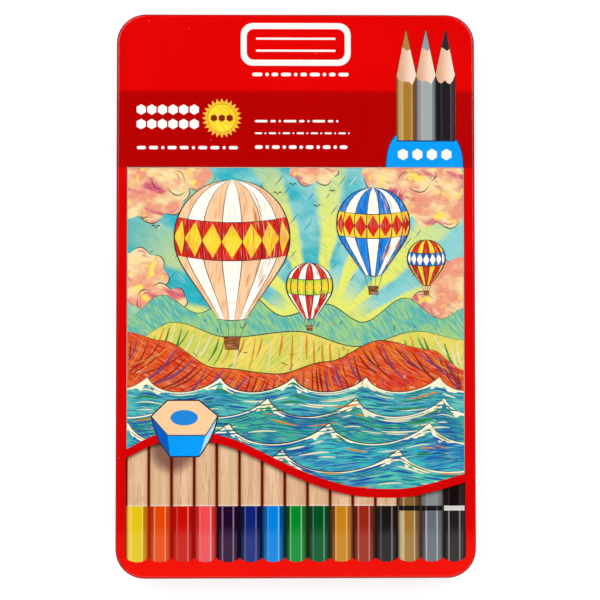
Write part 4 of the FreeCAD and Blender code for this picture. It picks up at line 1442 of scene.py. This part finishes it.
def draw_cloud(number, x, y, wide, high, lobes):
    """Returns the cloud's plate, a little above the cloud before, and draws its contour."""
    body = puff(x, y, wide, high, lobes)
    layer = 2 + 0.2 * number
    for start in range(0, len(body), ARC_STEPS):
        arc = [body[(start + step) % len(body)] for step in range(ARC_STEPS)]
        if all(inside_panel(*point) for point in arc) and PEN.random() < 0.8:
            add_line(arc, 0.34, layer + 0.15)
            within = [(x + 0.88 * (point_x - x), y + 0.88 * (point_y - y)) for point_x, point_y in arc[1:5]]
            add_tint(PEN.choice(("cream", "pink")), within, 0.5, layer + 0.15)
    return crop_to_panel(plate([body], layer))


clouds = [draw_cloud(number, *cloud) for number, cloud in enumerate(CLOUDS)]
new_piece("drawn_clouds", clouds, finish_cloud())
print("clouds:", len(CLOUDS))

# %% [markdown]
# Hills are plates under a smooth ridge line. Furrows fan out from the ridge, drawn in a few
# crayons by turns, and the ridge itself gets a dark line. The order of the layers does the
# overlapping: far range, middle range, near fields.

# %% The picture: hills
FAR_RIDGE = ((-56, -8), (-44, 0), (-32, -6), (-18, 2), (-4, -7), (10, -3), (22, -9), (36, -1), (48, -8),
             (56, -4))
MIDDLE_RIDGE = ((-56, -16), (-40, -9), (-22, -14), (0, -12), (20, -17), (40, -12), (56, -15))
NEAR_RIDGE = ((-56, -12), (-44, -15), (-26, -24), (-6, -26), (10, -22), (28, -15), (44, -18), (56, -25))
VANISHING_X = 4


def height_along(points, x):
    """The height of a smooth line through the points, at x."""
    index = 0
    while index < len(points) - 2 and x > points[index + 1][0]:
        index += 1
    (x0, y0), (x1, y1) = points[index], points[index + 1]
    share = (x - x0) / (x1 - x0)
    return y0 + (y1 - y0) * (share * share * (3 - 2 * share))


def draw_hill(name, ridge, low, layer, ink, main, second, turn, length):
    line = [(x, height_along(ridge, x)) for x in places_between(PANEL_LEFT, PANEL_RIGHT, 2.0)]
    new_piece(name, [plate([[(PANEL_LEFT, low)] + line + [(PANEL_RIGHT, low)]], layer)],
              crayon_ink(ink, main, second, turn, length))
    add_line(line[1:-1], 0.32, layer + 0.3)


def draw_furrows(ridge, low, layer, colors, step, spread):
    x = PANEL_LEFT + 1.5
    while x < PANEL_RIGHT - 1.5:
        top = height_along(ridge, x) - PEN.uniform(0.6, 2.4)
        foot = min(max(VANISHING_X + (x - VANISHING_X) * spread, PANEL_LEFT + 0.8), PANEL_RIGHT - 0.8)
        deep = max(low, top - PEN.uniform(6, 13))
        points = [(x, top), (x + (foot - x) * 0.35, top + (deep - top) * 0.5), (foot, deep)]
        add_tint(PEN.choice(colors), points, PEN.uniform(0.4, 0.9), layer + 0.3)
        x += PEN.uniform(0.6, 1.4) * step


draw_hill("drawn_far_hills", FAR_RIDGE, -24, 4.2, "far_hill_crayon",
          srgb(86, 178, 170), srgb(160, 206, 120), 35.0, 4.0)
draw_hill("drawn_middle_hills", MIDDLE_RIDGE, -30, 5, "middle_hill_crayon",
          srgb(196, 206, 84), srgb(240, 214, 96), -40.0, 4.0)
draw_hill("drawn_near_fields", NEAR_RIDGE, -52, 6, "near_field_crayon",
          srgb(206, 44, 22), srgb(232, 104, 34), 64.0, 4.5)
draw_furrows(MIDDLE_RIDGE, -28, 5, ("green", "orange", "cream"), 2.6, 1.12)
draw_furrows(NEAR_RIDGE, -50, 6, ("red", "red", "orange", "violet"), 1.5, 1.35)
print("ridges drawn")

# %% [markdown]
# Water is drawn as rows of rolling crests. A trochoid, the curve that a point on a rolling wheel
# leaves, has exactly the sharp crests and round troughs of a wave, so one formula gives the
# plates, their cream foam and the many loose lines that follow them below.

# %% The picture: river
# Height, rise, length and phase of each row's crests, and its crayons with their turn and length.
WATER = (
    ((-29.5, 2.4, 24.0, 0.4), "far_water_crayon", srgb(84, 192, 176), srgb(36, 132, 172), 84.0, 6.0),
    ((-37.0, 3.0, 29.0, 2.2), "middle_water_crayon", srgb(60, 176, 142), srgb(30, 108, 160), 80.0, 6.0),
    ((-45.5, 3.4, 33.0, 4.4), "near_water_crayon", srgb(60, 186, 188), srgb(30, 104, 170), 96.0, 7.0),
    ((-54.5, 3.6, 38.0, 0.9), "front_water_crayon", srgb(80, 198, 170), srgb(36, 134, 180), 90.0, 7.0),
)
SINKS = (1.6, 2.7, 3.7, 4.8, 6.0, 7.2, 8.3)
WATER_COLORS = ("blue", "blue", "teal", "green", "cream", "cream", "teal", "line", "orange")
WATER_LAYER = 7
FOAM_LAYER = 9.2


def swell(position, base, rise, length, phase, sink=0.0):
    """A point on a rolling crest line; deeper lines are flatter."""
    angle = math.tau * position / length + phase
    calm = math.exp(-sink / 5)
    x = position - 0.13 * length * calm * math.sin(angle) + 0.3 * rise * calm * math.cos(angle)
    return (x, base - sink + rise * calm * math.cos(angle))


def swell_line(left, right, row, step, sink=0.0):
    return [swell(position, *row, sink) for position in places_between(left, right, step)]


def foam_foot(x, y, row):
    """The foam's lower edge: deepest under the crest and a little ragged."""
    crested = max(0.0, math.cos(math.tau * (x - 1) / row[2] + row[3]))
    ragged = 1 + 0.6 * math.sin(1.7 * x) * math.sin(0.6 * x + 1)
    return (x, y - 0.5 - 1.9 * crested * ragged)


def draw_ripples(row, sink):
    """Loose lines of chance length and crayon that follow a row of crests, deeper by sink."""
    x = PANEL_LEFT + PEN.uniform(0.5, 4)
    while x < PANEL_RIGHT - 6:
        reach = PEN.uniform(4, 12)
        line = swell_line(x, min(x + reach, PANEL_RIGHT - 1.5), row, 2.0, sink + PEN.uniform(-0.3, 0.3))
        points = [point for point in line if inside_panel(*point)]
        color = PEN.choice(WATER_COLORS)
        if len(points) > 2 and color == "line":
            add_line(points, 0.22)
        elif len(points) > 2:
            add_tint(color, points, PEN.uniform(0.35, 0.75), 10)
        x += reach + PEN.uniform(0.5, 3)


foam = []
for index, (row, ink, main, second, turn, length) in enumerate(WATER):
    crest = swell_line(PANEL_LEFT - 6, PANEL_RIGHT + 6, row, 0.5)
    low = [(crest[-1][0], PANEL_LOW), (crest[0][0], PANEL_LOW)]
    body = crop_to_panel(plate([crest + low], WATER_LAYER + index * 0.5))
    new_piece("drawn_water_" + str(index + 1), [body], crayon_ink(ink, main, second, turn, length))
    under = [foam_foot(x, y, row) for x, y in crest]
    foam.append(crop_to_panel(plate([crest + under[::-1]], FOAM_LAYER + 0.1 * index)))
    add_line([(x, y) for x, y in crest[::2] if PANEL_LEFT + 0.5 < x < PANEL_RIGHT - 0.5], 0.34)
    for sink in SINKS:
        draw_ripples(row, sink)
new_piece("drawn_foam", foam,
          crayon_ink("foam_crayon", srgb(252, 246, 214), srgb(250, 228, 160), 60.0, 3.0, 0.6))
print("rows of water:", len(WATER))

# %% [markdown]
# A balloon is one outline and many patches of it. A point on it is named by how far down it lies
# and how far across, from -1 to 1, so that gores, belts and squares are all patches between two
# such pairs, and they narrow towards the crown as sewn cloth does.

# %% The picture: the shape of a balloon
GORES = (-1.0, -0.82, -0.52, -0.18, 0.18, 0.52, 0.82, 1.0)
BELT_TOP, BELT_FOOT = 0.36, 0.56
WAIST = 0.62


class Balloon:
    def __init__(self, x, y, radius):
        self.x, self.y, self.radius = x, y, radius

    def point(self, down, across):
        """down runs from 0 at the crown to 1 at the mouth."""
        if down < WAIST:
            turn = math.radians(90 - 120 * down / WAIST)
            half, rise = math.cos(turn), math.sin(turn)
        else:
            share = (down - WAIST) / (1 - WAIST)
            half, rise = 0.866 - 0.63 * share, -0.5 - 0.92 * share
        bow = 0.1 * half * (1 - across * across)
        return (self.x + self.radius * half * across, self.y + self.radius * (rise - bow))

    def patch(self, top, foot, left, right, steps=14):
        down = [top + (foot - top) * step / steps for step in range(steps + 1)]
        wide = [left + (right - left) * step / 6 for step in range(1, 6)]
        return ([self.point(value, left) for value in down] + [self.point(foot, value) for value in wide]
                + [self.point(value, right) for value in down[::-1]]
                + [self.point(top, value) for value in wide[::-1]])

    def diamond(self, left, right):
        """A diamond on the belt between two seams."""
        middle = (left + right) / 2
        return [self.point(0.37, middle), self.point(0.46, left), self.point(0.55, middle),
                self.point(0.46, right)]

    def seam(self, across, top=0.02, foot=0.98, steps=9):
        return [self.point(top + (foot - top) * step / steps, across) for step in range(steps + 1)]


print("gores seen from the front:", len(GORES) - 1)

# %% [markdown]
# Each balloon is sewn from two cloths by turns. The plates of one cloth are collected over all
# the balloons and become one piece, as the crayon lines do.

# %% The picture: balloons
CLOTH = {
    "white": crayon_ink("white_cloth_crayon", srgb(254, 250, 240), srgb(250, 226, 196), 8.0, 7.0, 0.62),
    "peach": crayon_ink("peach_cloth_crayon", srgb(250, 206, 160), srgb(240, 168, 120), -8.0, 7.0, 0.55),
    "red": crayon_ink("red_cloth_crayon", srgb(224, 40, 26), srgb(170, 20, 22), 6.0, 6.0, 0.55),
    "yellow": crayon_ink("yellow_cloth_crayon", srgb(250, 218, 46), srgb(244, 170, 40), -6.0, 6.0, 0.55),
    "blue": crayon_ink("blue_cloth_crayon", srgb(24, 130, 220), srgb(20, 78, 168), 4.0, 6.0, 0.55),
    "lime": crayon_ink("lime_cloth_crayon", srgb(196, 216, 60), srgb(120, 176, 60), 0.0, 6.0, 0.55),
}
SEWN = {name: [] for name in CLOTH}
BASKETS = []
CLOTH_LAYER = 11
SEAM_LAYER = 12.6


def draw_basket(x, y, radius, envelope):
    """A basket that narrows downwards, three woven lines on it and four ropes."""
    wide, top = 0.15 * radius, y - 1.72 * radius
    deep = 1.5 * wide
    BASKETS.append(plate([[(x - wide, top), (x - 0.8 * wide, top - deep), (x + 0.8 * wide, top - deep),
                           (x + wide, top)]], CLOTH_LAYER))
    for across, side in ((-1.0, -1), (1.0, 1), (-0.3, -0.4), (0.3, 0.4)):
        add_line([envelope.point(1.0, across), (x + side * wide, top)], 0.2, SEAM_LAYER)
    for share in (0.0, 0.5, 1.0):
        half, height = wide * (1 - 0.2 * share), top - deep * share
        add_line([(x - half, height), (x + half, height)], 0.22, SEAM_LAYER)


def draw_balloon(x, y, radius, first, second, belt, pattern):
    """Gores in two cloths by turns, a belt with a pattern across them, a basket on ropes."""
    envelope = Balloon(x, y, radius)
    for index, (left, right) in enumerate(zip(GORES, GORES[1:])):
        gore = plate([envelope.patch(0.0, 1.0, left, right)], CLOTH_LAYER)
        SEWN[first if index % 2 else second].append(gore)
    SEWN[belt].append(plate([envelope.patch(BELT_TOP, BELT_FOOT, -1.0, 1.0)], CLOTH_LAYER + 0.5))
    for left, right in zip(GORES, GORES[1:]):
        SEWN[pattern].append(plate([envelope.diamond(left, right)], CLOTH_LAYER + 1))
    for across in GORES:
        add_line(envelope.seam(across), 0.26 if abs(across) < 1 else 0.42, SEAM_LAYER)
    for down in (BELT_TOP, BELT_FOOT):
        add_line([envelope.point(down, -1 + step / 4) for step in range(9)], 0.26, SEAM_LAYER)
    add_line([envelope.point(1.0, across) for across in (-1.0, 0.0, 1.0)], 0.3, SEAM_LAYER)
    draw_basket(x, y, radius, envelope)
    for _ in range(int(radius * 1.6)):
        across, down = PEN.uniform(0.35, 0.93), PEN.uniform(0.12, 0.8)
        crease = [envelope.point(down + 0.05 * step, across) for step in range(3)]
        add_tint(PEN.choice(("peach", "orange")), crease, 0.35, SEAM_LAYER - 0.3)


draw_balloon(-21.0, 19.0, 19.0, "white", "peach", "red", "yellow")
draw_balloon(25.5, 23.5, 12.0, "white", "blue", "yellow", "red")
draw_balloon(43.0, 12.0, 6.2, "red", "yellow", "blue", "white")
draw_balloon(4.5, 3.0, 7.6, "red", "white", "lime", "yellow")
for name, cloths in SEWN.items():
    new_piece("drawn_cloth_" + name, cloths, CLOTH[name])
new_piece("drawn_baskets", BASKETS,
          crayon_ink("basket_crayon", srgb(176, 108, 48), srgb(120, 62, 28), 90.0, 3.0))
print("balloons:", len(BASKETS))

# %% [markdown]
# Last come the loose marks that make a drawing lively: birds, sparks of colour over the water
# and short hatching in the sky. Then every collected line becomes one piece for each crayon.

# %% The picture: loose marks
BIRDS = ((-6, 33, 1.6), (-1, 36, 1.3), (7, 29, 1.2), (-46, 22, 1.5), (-50, 25, 1.1), (12, 34, 1.0))
SPARKS = 70
SKY_HATCHES = 110

for x, y, wing in BIRDS:
    add_line([(x - wing, y + 0.4 * wing), (x - 0.5 * wing, y + 0.6 * wing), (x, y)])
    add_line([(x, y), (x + 0.5 * wing, y + 0.6 * wing), (x + wing, y + 0.4 * wing)])
for _ in range(SPARKS):
    x, y, turn = PEN.uniform(PANEL_LEFT + 3, PANEL_RIGHT - 3), PEN.uniform(-46, -8), PEN.uniform(0, math.pi)
    half = PEN.uniform(0.4, 1.1)
    color = PEN.choice(("blue", "cream", "orange", "red", "green", "teal"))
    across, along = half * math.cos(turn), half * math.sin(turn)
    add_tint(color, [(x - across, y - along), (x + across, y + along)], 0.45, LINE_LAYER)
for _ in range(SKY_HATCHES):
    x, y = PEN.uniform(PANEL_LEFT + 3, PANEL_RIGHT - 3), PEN.uniform(-2, PANEL_TOP - 4)
    half = PEN.uniform(1.0, 2.2)
    color = PEN.choice(("blue", "teal", "cream", "teal"))
    across, along = 0.6 * half, 0.8 * half
    add_tint(color, [(x - across, y - along), (x + 0.1, y + 0.05), (x + across, y + along)], 0.3, 1.8)
for color, strokes in TINTS.items():
    if strokes:
        new_piece("drawn_strokes_" + color, strokes, flat_ink("stroke_" + color, CRAYONS[color]))
new_piece("drawn_ink_lines", LINES, flat_ink("dark_line_ink", srgb(44, 30, 34)))
print("loose lines:", sum(len(strokes) for strokes in TINTS.values()))
